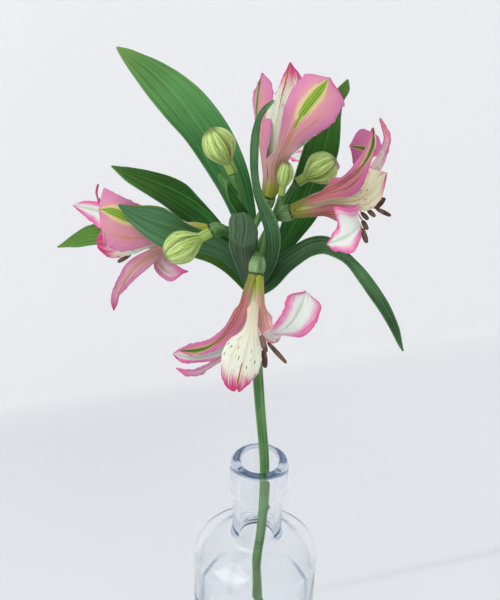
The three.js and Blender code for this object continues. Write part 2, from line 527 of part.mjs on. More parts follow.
        left: [2.6, 3.4, 4.3, 3, 4.1, 5, 5.8, 6, 5.6, 4.6, 2.9, 0.25],
        right: [2.6, 3.4, 4.3, 3, 4.1, 5, 5.8, 6, 5.6, 4.6, 2.9, 0.25] },
      { ...REAR_INNER, phi: -30, path: [[16.2, 33, 262.8], [16.8, 43, 264.1], [17.8, 51, 264.7]],
        face: [[0.85, [0.2, 0.2, -0.9]]],
        left: [1.5, 1.8, 2.1, 1.5, 2.2, 3.4, 4.3, 4.5, 3.8, 2.5, 1.2, 0.25],
        right: [1.5, 1.8, 2.1, 1.5, 2.2, 3.4, 4.3, 4.5, 3.8, 2.5, 1.2, 0.25] },
      { ...REAR_INNER, phi: -150, path: [[15.7, 33, 256], [15.8, 43, 252.6], [16.5, 51, 250.7]],
        face: [[0.85, [0.2, 0.2, 0.9]]],
        left: [1.5, 1.8, 2.1, 1.5, 2.2, 3.4, 4.3, 4.5, 3.8, 2.5, 1.2, 0.25],
        right: [1.5, 1.8, 2.1, 1.5, 2.2, 3.4, 4.3, 4.5, 3.8, 2.5, 1.2, 0.25] },
      { ...REAR_INNER, phi: 90, path: [[20.1, 33, 259.4], [23.9, 43, 258], [26.8, 51, 257.2]],
        face: [[0.85, [-0.9, 0.2, 0]]],
        left: [1.5, 1.8, 2.1, 1.5, 2.2, 3.4, 4.3, 4.5, 3.8, 2.5, 1.2, 0.25],
        right: [1.5, 1.8, 2.1, 1.5, 2.2, 3.4, 4.3, 4.5, 3.8, 2.5, 1.2, 0.25] },
    ],
  },
};

function bloomSolid(bloom) {
  const frame = bloomFrame(bloom);
  const cup = loft([0, RECEPTACLE_DEPTH].map((along) => {
    const centre = frame.base.clone().addScaledVector(frame.w, along);
    return ringAround(centre, frame.front, frame.side, RECEPTACLE_RADIUS + 0.13 * along, 9);
  }));
  const tepals = bloom.tepals.map((tepal, k) => solidOf(blade(tepalSurface(frame, { ...tepal, phase: k }),
    { rows: tepal.rows ?? 8, columns: 4, thickness: TEPAL_THICKNESS, tipBias: 1.2 })));
  return unite([solidOf(cup), ...tepals]);
}

// Six-ribbed ovary between a stalk's end and the bloom's seat, as wide as the bloom's base.
function ovary(bloom, grow = 0) {
  const frame = bloomFrame(bloom);
  const rib = (angle) => 1 + 0.1 * Math.cos(6 * angle);
  const rings = [0, 0.35, 0.75, 1].map((t) => {
    const centre = frame.base.clone().addScaledVector(frame.w, (t - 1) * OVARY_LENGTH - CLEARANCE + grow);
    const radius = OVARY_RADIUS * (0.45 + 0.55 * Math.sin(Math.PI * (0.12 + 0.62 * t))) + grow;
    return ringAround(centre, frame.front, frame.side, radius, 12, rib);
  });
  return loft(rings);
}

function rayPath({ path, bloom }) {
  if (!bloom) return path;
  const { base, w } = bloomFrame(blooms[bloom]);
  const before = base.clone().addScaledVector(w, -OVARY_LENGTH - 1.5);
  const heel = base.clone().addScaledVector(w, -OVARY_LENGTH + 1);
  return [...path, before.toArray(), heel.toArray()];
}

function stemSolid(grow = 0) {
  const main = stalk(stemPath, [STEM_RADIUS + 0.2, STEM_RADIUS, STEM_RADIUS, STEM_RADIUS + 0.3],
    { sides: 9, steps: 10, grow });
  const stalks = rays.map((ray) => stalk(rayPath(ray), ray.radii, { steps: ray.bloom ? 5 : 4, grow }));
  const ovaries = Object.values(blooms).map((bloom) => ovary(bloom, grow));
  return unite([main, ...stalks, ...ovaries].map(solidOf));
}

// ---------------------------------------------------------------- buds
// A closed bud: an egg with three broad lobes, widest past its middle, blunt at its tip.
const buds = {
  low_left: { neck: [-22, -29, 268], tip: [-38, -36, 261], radius: 5.9 },
  upper_left: { neck: [-15, -9, 282.5], tip: [-23.5, -8, 299], radius: 6 },
  right: { neck: [9, -9, 279.5], tip: [22.5, -8, 289], radius: 6 },
  small: { neck: [3, -20, 279.5], tip: [4.5, -20, 292.5], radius: 2.9 },
};

function budSolid({ neck: from, tip, radius }) {
  const axis = vec(tip).sub(vec(from));
  const { side, normal } = across(axis.clone().normalize(), new THREE.Vector3(0, -0.9, 0.44));
  const rib = (angle) => 1 + 0.05 * (2 * Math.abs(Math.cos(1.5 * angle)) ** 0.6 - 1);
  const rings = [0, 0.15, 0.3, 0.45, 0.6, 0.75, 0.88, 0.96, 1].map((t) => {
    const swell = Math.max(Math.sin(Math.PI * t ** 1.5), 0) ** 0.75;
    const size = Math.max(radius * swell, t < 0.5 ? 1.3 : 0.5);
    return ringAround(vec(from).addScaledVector(axis, t), side, normal, size, 12, rib);
  });
  return solidOf(loft(rings));
}

// ---------------------------------------------------------------- leaves
// Each leaf is one blade on a midrib through spine, which starts in the stem. root and
// face give the ways its upper side looks; fold lifts its two halves into a channel; left
// and right are its half widths at the stops.
const leaves = {
  tall_left: {
    spine: [[-6.3, -13, 236.3], [-7.1, -6, 243.4], [-9.5, 0, 255.1], [-14.2, 3, 269.3],
      [-21, 6, 282.2], [-28, 7.5, 293], [-36.3, 9, 303.6], [-46.8, 11, 313.3], [-59, 12, 321.2]],
    root: [0.2, -0.9, 0.3], fold: 0.12,
    face: [[0.5, [0.3, -0.85, 0.4]], [0.9, [0.5, -0.75, 0.5]]],
    left: [1.7, 2.6, 4.8, 6.4, 7.2, 7.6, 8.8, 8.8, 7.8, 5.8, 3, 0.25],
    right: [1.9, 3.6, 5.9, 8.1, 9.1, 9.2, 8.5, 7, 5.1, 3.3, 2.1, 0.25],
  },
  mid_left: {
    spine: [[-6.3, -13, 236.3], [-12.5, -10, 248.1], [-19.8, -5, 259], [-26.9, -1, 264.3],
      [-34.9, -1, 269.5], [-44.2, -3, 274.7], [-53.1, -6, 279.4], [-59.6, -8, 282.9]],
    root: [0.1, -0.7, 0.7], fold: 0.15,
    face: [[0.5, [0.2, -0.75, 0.65]], [0.9, [0.3, -0.8, 0.6]]],
    left: [2, 3.6, 5.6, 8.6, 9.2, 8.5, 7.1, 6, 4.8, 3.5, 1.7, 0.25],
    right: [1.2, 1.9, 1, 0.7, 1.8, 3.8, 4, 3.4, 2.7, 1.9, 0.9, 0.25],
  },
  grey_left: {
    spine: [[-6.4, -13, 238.1], [-10.8, -15, 247.9], [-16.6, -18, 255.8], [-24.3, -21, 261.7],
      [-33.2, -25, 267.2], [-43.6, -29, 272.5], [-54.5, -31, 278.6]],
    root: [-0.2, -0.6, 0.7], fold: 0.08,
    face: [[0.5, [-0.3, -0.8, 0.5]], [0.9, [-0.35, -0.9, 0.1]]],
    left: [1.9, 4.1, 5.1, 5.7, 7, 8.1, 8.8, 7.4, 5.8, 4.2, 1.9, 0.25],
    right: [1, 1.7, 2.5, 2.1, 1.8, 2.4, 4.4, 6, 5.4, 3.1, 1.4, 0.25],
  },
  low_left: {
    spine: [[-6.2, -13, 233.7], [-13.1, -8, 239], [-18.3, -5, 242.4], [-25.2, -1, 244.4],
      [-39.2, 3, 246.9], [-62.9, 4, 248.1], [-76.7, 3, 245.4], [-83.6, 2, 242.5]],
    root: [0, -0.6, 0.8], fold: 0.12,
    face: [[0.5, [0, -0.7, 0.7]], [0.9, [0, -0.8, 0.6]]],
    left: [1.8, 2.4, 3.8, 4.9, 4.7, 4.2, 4.2, 3.9, 3.5, 3, 1.6, 0.25],
    right: [0.4, 4.6, 5.1, 3.5, 3.2, 3.2, 3.6, 4.3, 3.8, 2.1, 0.7, 0.25],
  },
  front_left: {
    spine: [[-6.4, -13, 237.7], [-8.8, -19, 245.1], [-10.4, -25, 255.7], [-10.9, -30, 265.9],
      [-11.4, -33.5, 274.1], [-10.8, -36, 279.7], [-9.3, -40, 279.1], [-9.1, -42.5, 275.8],
      [-10, -44, 270.5]],
    root: [0.1, -0.9, -0.2], fold: 0.1,
    face: [[0.4, [0.1, -0.85, 0.52]]],
    left: [2.6, 2.1, 2.6, 3.6, 4.4, 3.7, 4, 3.8, 6, 5.6, 5.3, 0.25],
    right: [1.7, 4.1, 5, 5, 4.9, 5.7, 4.3, 1.7, 2.6, 4.4, 3.6, 0.25],
  },
  front_right: {
    spine: [[-6.4, -13, 238.1], [-2.3, -16, 242.7], [0.5, -17, 249.1], [0.9, -18, 256.5],
      [-0.1, -19.5, 264.8], [-2.7, -21.5, 273.9], [-5.5, -23, 281.7], [-7, -24.5, 290.2],
      [-7.4, -25, 298.7], [-7.2, -25, 306.2], [-5.2, -24, 312.4], [-1.4, -21, 315.7]],
    root: [-0.2, -0.9, 0.2], fold: 0.25,
    face: [[0.55, [-0.41, -0.78, 0.48]], [0.9, [-0.71, -0.6, 0.37]]],
    left: [2.4, 2.9, 2.5, 2.6, 1.9, 1.2, 1.1, 1.1, 0.8, 0.8, 0.8, 0.25],
    right: [2.7, 1.7, 3.6, 4.1, 2.3, 1.6, 1.7, 2.1, 2.3, 1.4, 1.5, 0.25],
  },
  tall_right: {
    spine: [[-6.3, -13, 235], [-0.4, -7, 241.6], [4.4, -2, 247.9], [9.9, 5, 256.3], [15.3, 11, 267],
      [18.9, 15, 278.9], [22.2, 18, 294.4], [26.9, 20, 309.2]],
    root: [0.2, -0.9, 0.2], fold: 0.12,
    face: [[0.5, [0, -0.95, 0.3]], [0.9, [-0.1, -0.95, 0.3]]],
    left: [3.1, 3.1, 4.6, 7, 8, 8.1, 7.8, 6.7, 5.4, 3.6, 2, 0.25],
    right: [0.7, 2.2, 4.7, 6.6, 5.7, 5.4, 5.4, 4.2, 2.5, 1.5, 2.1, 0.25],
  },
  drooping_right: {
    spine: [[-6.3, -13, 234.1], [-0.3, -14, 240.3], [4.4, -14, 247.1], [9.5, -13, 251.1],
      [15.7, -13, 255.5], [21.2, -14, 256.9], [26.4, -17, 254.9], [33.1, -20, 249.2],
      [39.3, -22, 241], [45.2, -24, 232.3], [52.6, -26, 218]],
    root: [-0.2, -0.8, 0.6], fold: 0.2,
    face: [[0.45, [0, -0.9, 0.45]], [0.9, [0.5, -0.75, 0.4]]],
    left: [2.2, 3, 3.1, 2.5, 1.8, 2.3, 2.9, 3, 2.7, 2.2, 1.1, 0.25],
    right: [3.1, 4.7, 3.9, 3.8, 1.7, 2, 2, 1.9, 1.6, 1.1, 0.8, 0.25],
  },
  bract: {
    spine: [[-10.3, -11, 265], [-12.6, -12.5, 269.8], [-14.8, -12, 274.4], [-16.9, -11, 279.1]],
    root: [0.3, -0.9, 0.2], fold: 0.3, rows: 4,
    face: [[0.9, [0.3, -0.9, 0.3]]],
    left: [0.5, 0.9, 1.2, 1.4, 1.6, 1.7, 1.6, 1.5, 1.4, 1.1, 0.7, 0.25],
    right: [2.1, 2.5, 2.4, 2.2, 2.1, 1.9, 1.7, 1.5, 1.2, 1, 0.8, 0.25],
  },
};

function leafSurface({ spine, root, face, fold, left, right }) {
  const at = ribbon(spine, vec(root), face);
  return (u, x) => {
    const { point, side, normal } = at(u);
    const half = halfWidth(x < 0 ? left : right, u);
    return point.addScaledVector(side, x * half)
      .addScaledVector(normal, fold * half * Math.abs(x) ** 1.4);
  };
}

const leafSolid = (leaf, grow = 0) => solidOf(blade(leafSurface(leaf),
  { rows: leaf.rows ?? 11, columns: 4, thickness: LEAF_THICKNESS + 2 * grow }));

// Leaves whose roots lie close together: each is cut free of the ones named.
const crowded = { grey_left: ["mid_left"], front_left: ["mid_left", "grey_left"] };

// ---------------------------------------------------------------- stamens
// Six filaments rise from a small disc in the funnel, pass the throat and end in
// anthers, each given by its foot and tip.
const stamens = {
  front: {
    throat: [-5, -43, 242],
    anthers: [[[-2.4, -58.5, 243.7], [-0.5, -60.5, 238.1]], [[-1.4, -56.5, 236.1], [-0.6, -57.5, 229.5]],
      [[0.3, -52, 236.4], [7.1, -54, 229.4]], [[-6.5, -50, 234], [-6.5, -53, 229.5]],
      [[-8, -47, 232.5], [-9, -50, 228.5]], [[-4.5, -46, 228.5], [-4, -49, 223.5]]],
  },
  right: {
    throat: [25, -17, 279],
    anthers: [[[37.4, -20, 275.6], [40.1, -21, 280.4]], [[37.8, -20, 275.2], [43, -22, 273.6]],
      [[34.5, -21, 275.2], [37.3, -22, 273]], [[32.3, -21, 274], [34.9, -22, 271.7]],
      [[32.8, -22, 271.2], [34.8, -23, 268.1]], [[33, -22, 267.9], [35, -23, 262.6]]],
  },
  top: { throat: [0, -9.5, 286], anthers: bunch([3.5, -9, 300], [0.15, 0.1, 1], 2.2, 6) },
  left: {
    throat: [-36, -13, 259],
    anthers: [[[-52.7, -16, 250.4], [-57.4, -17, 247.3]],
      ...bunch([-49, -12, 259], [-1, 0, -0.1], 2.2, 5)],
  },
  back: { throat: [16, 33, 259], anthers: bunch([18, 41, 259.8], [0.2, 1, 0], 2, 6) },
};

// Anthers standing in a ring of the given radius about a point, along a direction.
function bunch(centre, along, radius, count) {
  const direction = vec(along).normalize();
  const { side, normal } = across(direction, new THREE.Vector3(0.5, 0.6, 0.62));
  return ringAround(vec(centre), side, normal, radius, count).map((foot, k) => {
    foot.addScaledVector(direction, -2 * (k % 3));
    return [foot.toArray(), foot.clone().addScaledVector(direction, ANTHER_LENGTH).toArray()];
  });
}

function stamenSolid(bloom, { throat, anthers }, grow = 0) {
  const { base, w, front, side } = bloomFrame(bloom);
  const seat = base.clone().addScaledVector(w, RECEPTACLE_DEPTH + CLEARANCE);
  const disc = loft([0, 1.5].map((along) => ringAround(seat.clone().addScaledVector(w, along),
    front, side, FILAMENT_RING + FILAMENT_RADIUS + grow, 6)));
  const parts = [disc];
  anthers.forEach(([foot, tip], k) => {
    const angle = rad(60 * k);
    const outwards = front.clone().multiplyScalar(FILAMENT_RING * Math.cos(angle))
      .addScaledVector(side, FILAMENT_RING * Math.sin(angle));
    const start = seat.clone().addScaledVector(w, 0.6).add(outwards);
    const middle = vec(throat).add(outwards);
    parts.push(stalk([start.toArray(), middle.toArray(), foot], [FILAMENT_RADIUS, FILAMENT_RADIUS],
      { sides: 3, steps: 3, grow }));
    parts.push(anther(vec(foot), vec(tip), grow));
  });
  return unite(parts.map(solidOf));
}

function anther(foot, tip, grow) {
  const along = tip.clone().sub(foot);
  const { side, normal } = across(along.clone().normalize(), new THREE.Vector3(0.2, 0.5, 0.9));
  return loft([[-0.1, 0.7], [0.5, 1], [1, 0.6]].map(([t, share]) =>
    ringAround(foot.clone().addScaledVector(along, t), side, normal, ANTHER_RADIUS * share + grow, 4)));
}

// ---------------------------------------------------------------- assembly
const COLOURS = {
  glass: 0xdde6ea, water: 0xd3e2e6, stem: 0x4f8a3a, leaf: 0x2f6b30, greyLeaf: 0x5b7f66,
  tepal: 0xdd7fae, bud: 0xaebf62, stamen: 0x7d5a45,
};
const material = (color, more = {}) =>
  new THREE.MeshStandardMaterial({ color, roughness: 0.5, metalness: 0, ...more });

const object = new THREE.Group();
function place(name, solid, finish) {
  const mesh = new THREE.Mesh(geometryOf(largest(solid.simplify(FINEST))), finish);
  mesh.name = name;
  object.add(mesh);
}

const stem = stemSolid();
const stemRoom = stemSolid(CLEARANCE);
const glass = material(COLOURS.glass, { roughness: 0.05, transparent: true, opacity: 0.35 });
const clearWater = material(COLOURS.water, { roughness: 0.05, transparent: true, opacity: 0.35 });

place("vase", vase, glass);
place("water", solidOf(revolve(waterProfile, VASE_SEGMENTS)).subtract(stemRoom), clearWater);
place("stem", stem, material(COLOURS.stem));
for (const [name, leaf] of Object.entries(leaves)) {
  const colour = name === "grey_left" || name === "front_left" ? COLOURS.greyLeaf : COLOURS.leaf;
  const room = (crowded[name] ?? []).map((other) => leafSolid(leaves[other], CLEARANCE));
  place(`leaf_${name}`, largest(leafSolid(leaf).subtract(unite([stemRoom, ...room]))), material(colour));
}
for (const [name, bloom] of Object.entries(blooms)) {
  const room = stemRoom.add(stamenSolid(bloom, stamens[name], CLEARANCE));
  place(`bloom_${name}`, largest(bloomSolid(bloom).subtract(room)), material(COLOURS.tepal));
  place(`stamens_${name}`, stamenSolid(bloom, stamens[name]), material(COLOURS.stamen));
}
for (const [name, bud] of Object.entries(buds)) {
  place(`bud_${name}`, largest(budSolid(bud).subtract(stemRoom)), material(COLOURS.bud));
}

export default object;
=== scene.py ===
from math import atan2, cos, exp, pi, radians, sin

import bmesh
import bpy
from mathutils import Matrix, Vector, noise


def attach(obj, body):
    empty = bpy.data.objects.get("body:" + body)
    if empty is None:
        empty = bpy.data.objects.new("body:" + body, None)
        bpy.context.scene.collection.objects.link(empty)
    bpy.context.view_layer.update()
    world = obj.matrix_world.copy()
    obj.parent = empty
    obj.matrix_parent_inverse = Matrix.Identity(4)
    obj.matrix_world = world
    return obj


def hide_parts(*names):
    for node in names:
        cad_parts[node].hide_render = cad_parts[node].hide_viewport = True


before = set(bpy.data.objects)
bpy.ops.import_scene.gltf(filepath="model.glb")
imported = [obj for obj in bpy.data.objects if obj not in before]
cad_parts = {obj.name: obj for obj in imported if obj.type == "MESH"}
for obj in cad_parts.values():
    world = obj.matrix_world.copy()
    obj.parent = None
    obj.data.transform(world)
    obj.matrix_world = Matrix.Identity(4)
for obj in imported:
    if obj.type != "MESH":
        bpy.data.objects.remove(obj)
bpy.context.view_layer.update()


# ---------------------------------------------------------------- bottle vase
# A small bottle of thick clear glass that serves as a vase, blown in a mould: a flat
# foot, a straight body, a round shoulder, a narrow neck and a heavy lip.
MM = 0.001
VASE_HEIGHT, BODY_RADIUS, FOOT_RADIUS = 140, 28.5, 26
SHOULDER_Z, NECK_Z, COLLAR_Z = 85, 97, 124
NECK_RADIUS, COLLAR_RADIUS, BORE_RADIUS = 11.3, 13, 8.2
INNER_RADIUS, GLASS_FLOOR = 25.9, 5
AROUND = 96
MOST_THROWS, MOST_PASSES, SPENT_LIGHT = 1.5, 9.5, (0.66, 0.72, 0.79, 1)


def drawn(*parts):
    """Points (radius, height) of an outline. A part with its number of steps, a start and
    an end is straight, and leaves out both. One that has a corner too is rounded there."""
    points = []
    for steps, start, end, *corner in parts:
        corner = corner[0] if corner else None
        for i in range(steps + 1) if corner else range(1, steps):
            t = i / steps
            pull = corner or [(p + q) / 2 for p, q in zip(start, end)]
            points.append([(1 - t) ** 2 * p + 2 * t * (1 - t) * c + t ** 2 * q
                           for p, c, q in zip(start, pull, end)])
    return points


def turned(profile, around=AROUND):
    """A profile of (radius, height) in millimetres, turned about the Z axis."""
    bm = bmesh.new()
    verts = [bm.verts.new((r * MM, 0, z * MM)) for r, z in profile]
    edges = [bm.edges.new(pair) for pair in zip(verts, verts[1:])]
    bmesh.ops.spin(bm, geom=verts + edges, cent=(0, 0, 0), axis=(0, 0, 1), angle=2 * pi,
                   steps=around, use_merge=True)
    bmesh.ops.remove_doubles(bm, verts=bm.verts, dist=1e-6)
    bmesh.ops.recalc_face_normals(bm, faces=bm.faces)
    return bm


def set_down(name, bm, node, slot, *materials):
    """The mesh as a finished, smooth piece that stands for a CAD node."""
    mesh = bpy.data.meshes.new(name)
    for face in bm.faces:
        face.smooth = True
    bm.to_mesh(mesh)
    bm.free()
    piece = bpy.data.objects.new(name, mesh)
    bpy.context.scene.collection.objects.link(piece)
    for material in materials:
        mesh.materials.append(material)
    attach(piece, "root")
    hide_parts(node)
    return piece


class Pad:
    """A node tree to write on: each call sets nodes down and wires them."""

    def __init__(self, tree):
        self.tree = tree

    def node(self, kind, **settings):
        node = self.tree.nodes.new("ShaderNode" + kind)
        for key, value in settings.items():
            setattr(node, key, value)
        return node

    def plug(self, socket, value):
        if isinstance(value, bpy.types.NodeSocket):
            self.tree.links.new(value, socket)
        elif value is not None:
            socket.default_value = value

    def math(self, operation, *values):
        node = self.node("Math", operation=operation)
        for socket, value in zip(node.inputs, values):
            self.plug(socket, value)
        return node.outputs[0]

    def times(self, product, *others):
        """All the values multiplied."""
        for other in others:
            product = self.math("MULTIPLY", product, other)
        return product

    def scaled(self, value, factor, added):
        """The value times a factor, with another added."""
        return self.math("MULTIPLY_ADD", value, factor, added)

    def smooth(self, value, low, high):
        """0 below low, 1 above high and an even bend between."""
        node = self.node("MapRange", interpolation_type="SMOOTHSTEP")
        for name, setting in (("Value", value), ("From Min", low), ("From Max", high)):
            self.plug(node.inputs[name], setting)
        return node.outputs["Result"]

    def fade(self, value, low, high):
        """1 below low, 0 above high and an even bend between."""
        return self.math("SUBTRACT", 1.0, self.smooth(value, low, high))

    def mix(self, share, a, b):
        node = self.node("Mix", data_type="RGBA")
        for name, value in (("Factor", share), ("A", a), ("B", b)):
            self.plug(node.inputs[name], value)
        return node.outputs["Result"]

    def layers(self, colour, *coats):
        """A first colour with others laid over it, each with its share."""
        for share, coat in coats:
            colour = self.mix(share, colour, coat)
        return colour

    def spot(self):
        """Where a point of the piece lies, in metres."""
        return self.node("TexCoord").outputs["Object"]

    def map(self, name):
        """Where a point lies on one of the piece's own maps."""
        return self.node("UVMap", uv_map=name).outputs["UV"]

    def split(self, vector):
        """A vector's X, Y and Z."""
        node = self.node("SeparateXYZ")
        self.plug(node.inputs[0], vector)
        return node.outputs

    def stretch(self, vector, x, y, z=1.0):
        node = self.node("Mapping")
        self.plug(node.inputs["Vector"], vector)
        node.inputs["Scale"].default_value = (x, y, z)
        return node.outputs["Vector"]

    def noise(self, vector, scale, detail=2.0):
        node = self.node("TexNoise")
        for name, value in (("Vector", vector), ("Scale", scale), ("Detail", detail)):
            self.plug(node.inputs[name], value)
        return node.outputs["Fac"]

    def use(self, group, **settings):
        """A node group, with plain settings on its inputs."""
        node = self.node("Group", node_tree=group)
        for key, value in settings.items():
            node.inputs[key.replace("_", " ")].default_value = value
        return node.outputs

    def coat(self, colour, height=None, strength=0.35, distance=0.0003):
        """Colour and relief of the material's own shader."""
        self.plug(self.shader.inputs["Base Color"], colour)
        if height:
            bump = self.node("Bump")
            for name, value in (("Strength", strength), ("Distance", distance), ("Height", height)):
                self.plug(bump.inputs[name], value)
            self.plug(self.shader.inputs["Normal"], bump.outputs["Normal"])

    def see_through(self, share, tint=(1, 1, 1, 1)):
        """Lets light pass straight through the surface, as far as share says."""
        clear = self.node("BsdfTransparent")
        clear.inputs["Color"].default_value = tint
        blend = self.node("MixShader")
        out = self.tree.nodes["Material Output"].inputs["Surface"]
        for socket, value in zip(blend.inputs, (share, out.links[0].from_socket, clear.outputs[0])):
            self.plug(socket, value)
        self.plug(out, blend.outputs[0])


def fresh_material(name, **settings):
    """A pad with a new material and its Principled shader, plain settings on its sockets."""
    material = bpy.data.materials.new(name)
    material.use_nodes = True
    pad = Pad(material.node_tree)
    pad.material, pad.shader = material, material.node_tree.nodes["Principled BSDF"]
    for key, value in settings.items():
        pad.shader.inputs[key.replace("_", " ")].default_value = value
    return pad


def let_light_through(pad):
    """Clear glass and water cast no shadow of their own on what stands behind them."""
    path = pad.node("LightPath").outputs
    thrown = pad.math("GREATER_THAN", path["Glossy Depth"], MOST_THROWS)
    passed = pad.math("GREATER_THAN", path["Ray Depth"], MOST_PASSES)
    # light that has been thrown about inside the wall too often comes out as pale grey blue
    pad.see_through(pad.math("MAXIMUM", thrown, passed), SPENT_LIGHT)
    pad.see_through(pad.math("MAXIMUM", path["Is Shadow Ray"], path["Is Diffuse Ray"]))


outline = [(0, 0), *drawn(
    (6, (0, 0), (FOOT_RADIUS, 0)),
    (6, (FOOT_RADIUS, 0), (BODY_RADIUS, 4), (BODY_RADIUS, 0)),
    (24, (BODY_RADIUS, 4), (BODY_RADIUS, SHOULDER_Z)),
    (12, (BODY_RADIUS, SHOULDER_Z), (NECK_RADIUS + 6, NECK_Z - 2.5), (BODY_RADIUS, NECK_Z - 5)),
    (6, (NECK_RADIUS + 2.5, NECK_Z - 1), (NECK_RADIUS, NECK_Z + 4), (NECK_RADIUS, NECK_Z)),
    (6, (NECK_RADIUS, NECK_Z + 4), (NECK_RADIUS, COLLAR_Z - 5)),
    (4, (NECK_RADIUS, COLLAR_Z - 5), (COLLAR_RADIUS - 0.6, COLLAR_Z - 1), (NECK_RADIUS, COLLAR_Z - 3)),
    (3, (COLLAR_RADIUS - 0.2, COLLAR_Z), (COLLAR_RADIUS, COLLAR_Z + 2), (COLLAR_RADIUS, COLLAR_Z + 0.6)),
    (4, (COLLAR_RADIUS, COLLAR_Z + 2), (COLLAR_RADIUS, VASE_HEIGHT - 2.5)),
    (7, (COLLAR_RADIUS, VASE_HEIGHT - 2.5), (COLLAR_RADIUS - 2.3, VASE_HEIGHT),
     (COLLAR_RADIUS, VASE_HEIGHT)),
    (5, (BORE_RADIUS + 1.2, VASE_HEIGHT), (BORE_RADIUS, VASE_HEIGHT - 1.5), (BORE_RADIUS, VASE_HEIGHT)),
    (10, (BORE_RADIUS, VASE_HEIGHT - 1.5), (BORE_RADIUS, NECK_Z + 2)),
    (5, (BORE_RADIUS, NECK_Z + 2), (BORE_RADIUS + 3, NECK_Z - 3.5), (BORE_RADIUS, NECK_Z - 2.5)),
    (12, (BORE_RADIUS + 3.4, NECK_Z - 3.7), (INNER_RADIUS, SHOULDER_Z - 3), (INNER_RADIUS, NECK_Z - 8)),
    (20, (INNER_RADIUS, SHOULDER_Z - 3), (INNER_RADIUS, GLASS_FLOOR + 4)),
    (5, (INNER_RADIUS, GLASS_FLOOR + 4), (INNER_RADIUS - 4, GLASS_FLOOR), (INNER_RADIUS, GLASS_FLOOR)),
    (5, (INNER_RADIUS - 4, GLASS_FLOOR), (0, GLASS_FLOOR))), (0, GLASS_FLOOR)]
glass = fresh_material("clear_glass", Base_Color=(0.96, 0.975, 0.985, 1), Roughness=0.03, IOR=1.45,
                       Transmission_Weight=1.0)
glass.coat(None, glass.noise(glass.stretch(glass.spot(), 1, 1, 0.45), 55, 1), 0.25, 0.0012)
let_light_through(glass)
set_down("bottle_vase", turned(outline), "vase", "glass", glass.material)


# ---------------------------------------------------------------- water
# Clear tap water that fills a little under half of the bottle and creeps up the glass
# where it meets it.
WATER_FOOT, WATER_HEEL, WATER_LEVEL = 5.3, 9.5, 62
WATER_RADIUS = 25.95

surface = [(0, WATER_FOOT), *drawn(
    (5, (0, WATER_FOOT), (WATER_RADIUS - 4, WATER_FOOT)),
    (5, (WATER_RADIUS - 4, WATER_FOOT), (WATER_RADIUS, WATER_HEEL), (WATER_RADIUS, WATER_FOOT)),
    (12, (WATER_RADIUS, WATER_HEEL), (WATER_RADIUS, WATER_LEVEL)),
    (5, (WATER_RADIUS, WATER_LEVEL + 0.9), (WATER_RADIUS - 2.2, WATER_LEVEL),
     (WATER_RADIUS - 0.5, WATER_LEVEL)),
    (6, (WATER_RADIUS - 2.2, WATER_LEVEL), (0, WATER_LEVEL))), (0, WATER_LEVEL)]
# bends light less than real water does, so that its surface doesn't show as a dark line
water = fresh_material("water", Base_Color=(0.99, 1.0, 1.0, 1), Roughness=0.0, IOR=1.06,
                       Transmission_Weight=1.0)
water.coat(None, water.noise(water.spot(), 90, 1), 0.03, 0.0008)
let_light_through(water)
set_down("water", turned(surface), "water", "water", water.material)


# ---------------------------------------------------------------- stem
# The living stem: a smooth green stalk from the floor of the bottle to the node, where
# it splits into the flower stalks. Each ends in a ribbed green ovary under its bloom.
NODE = (-6.4, -13, 236.5)
MAIN = [(9, 7, 6), (1, 1, 68), (2, -2.4, 104), (2.2, -4.6, 139), (-1.5, -8.6, 180), NODE]
OVARY_LENGTH, OVARY_RADIUS = 6, 3
SEATS = {
    "front": ((-5, -33, 254), (-0.1, -0.48, -0.87)),
    "right": ((7.5, -15, 270.5), (0.86, -0.25, 0.42)),
    "top": ((-1.5, -10, 274.5), (0.22, -0.14, 0.96)),
    "left": ((-23.5, -13, 260), (-0.96, -0.2, 0.02)),
    "back": ((14, 21, 259), (0.2, 0.96, 0.05)),
}
RAYS = [
    ([NODE, (-8.6, -12.5, 250), (-10.2, -11, 264), (-12.6, -10, 274), (-14.8, -9.2, 282)],
     (2.1, 1.7, 1.5, 1.3), None),
    ([NODE, (-3.6, -13, 247), (-1.6, -13.5, 257), (-0.4, -14, 266)], (1.9, 1.6, 1.5, 1.5), "right"),
    ([NODE, (-6, -17.5, 245), (-5.4, -23, 254), (-5, -28.5, 258.5)], (1.8, 1.5, 1.5, 1.5), "front"),
    ([NODE, (-5, -4, 245), (0, 8, 252), (7, 13.5, 257)], (1.8, 1.5, 1.4, 1.4), "back"),
    ([(-9, -12, 254), (-6, -10.5, 262)], (1.4, 1.3, 1.4), "top"),
    ([(-8.8, -12.4, 251), (-13, -13.5, 256.5)], (1.5, 1.4, 1.5), "left"),
    ([(-12.6, -13.4, 256), (-16.5, -20, 263), (-21, -27.6, 267.6)], (1.2, 1.3), None),
    ([(-1, -13.6, 262), (3.6, -11.5, 271), (8.2, -9.3, 279)], (1.2, 1.1), None),
    ([(-0.6, -14, 264), (1.4, -18, 272), (2.9, -19.9, 279)], (1.1, 1), None),
    ([(-11.6, -10.2, 271), (-15.4, -8.4, 276), (-18.6, -7.4, 279), (-19.6, -7, 281)],
     (0.8, 0.8, 1.7, 0.9), None),
]


def lerp(a, b, t):
    return a + (b - a) * t


def smooth(low, high, x):
    t = min(max((x - low) / (high - low), 0), 1)
    return t * t * (3 - 2 * t)


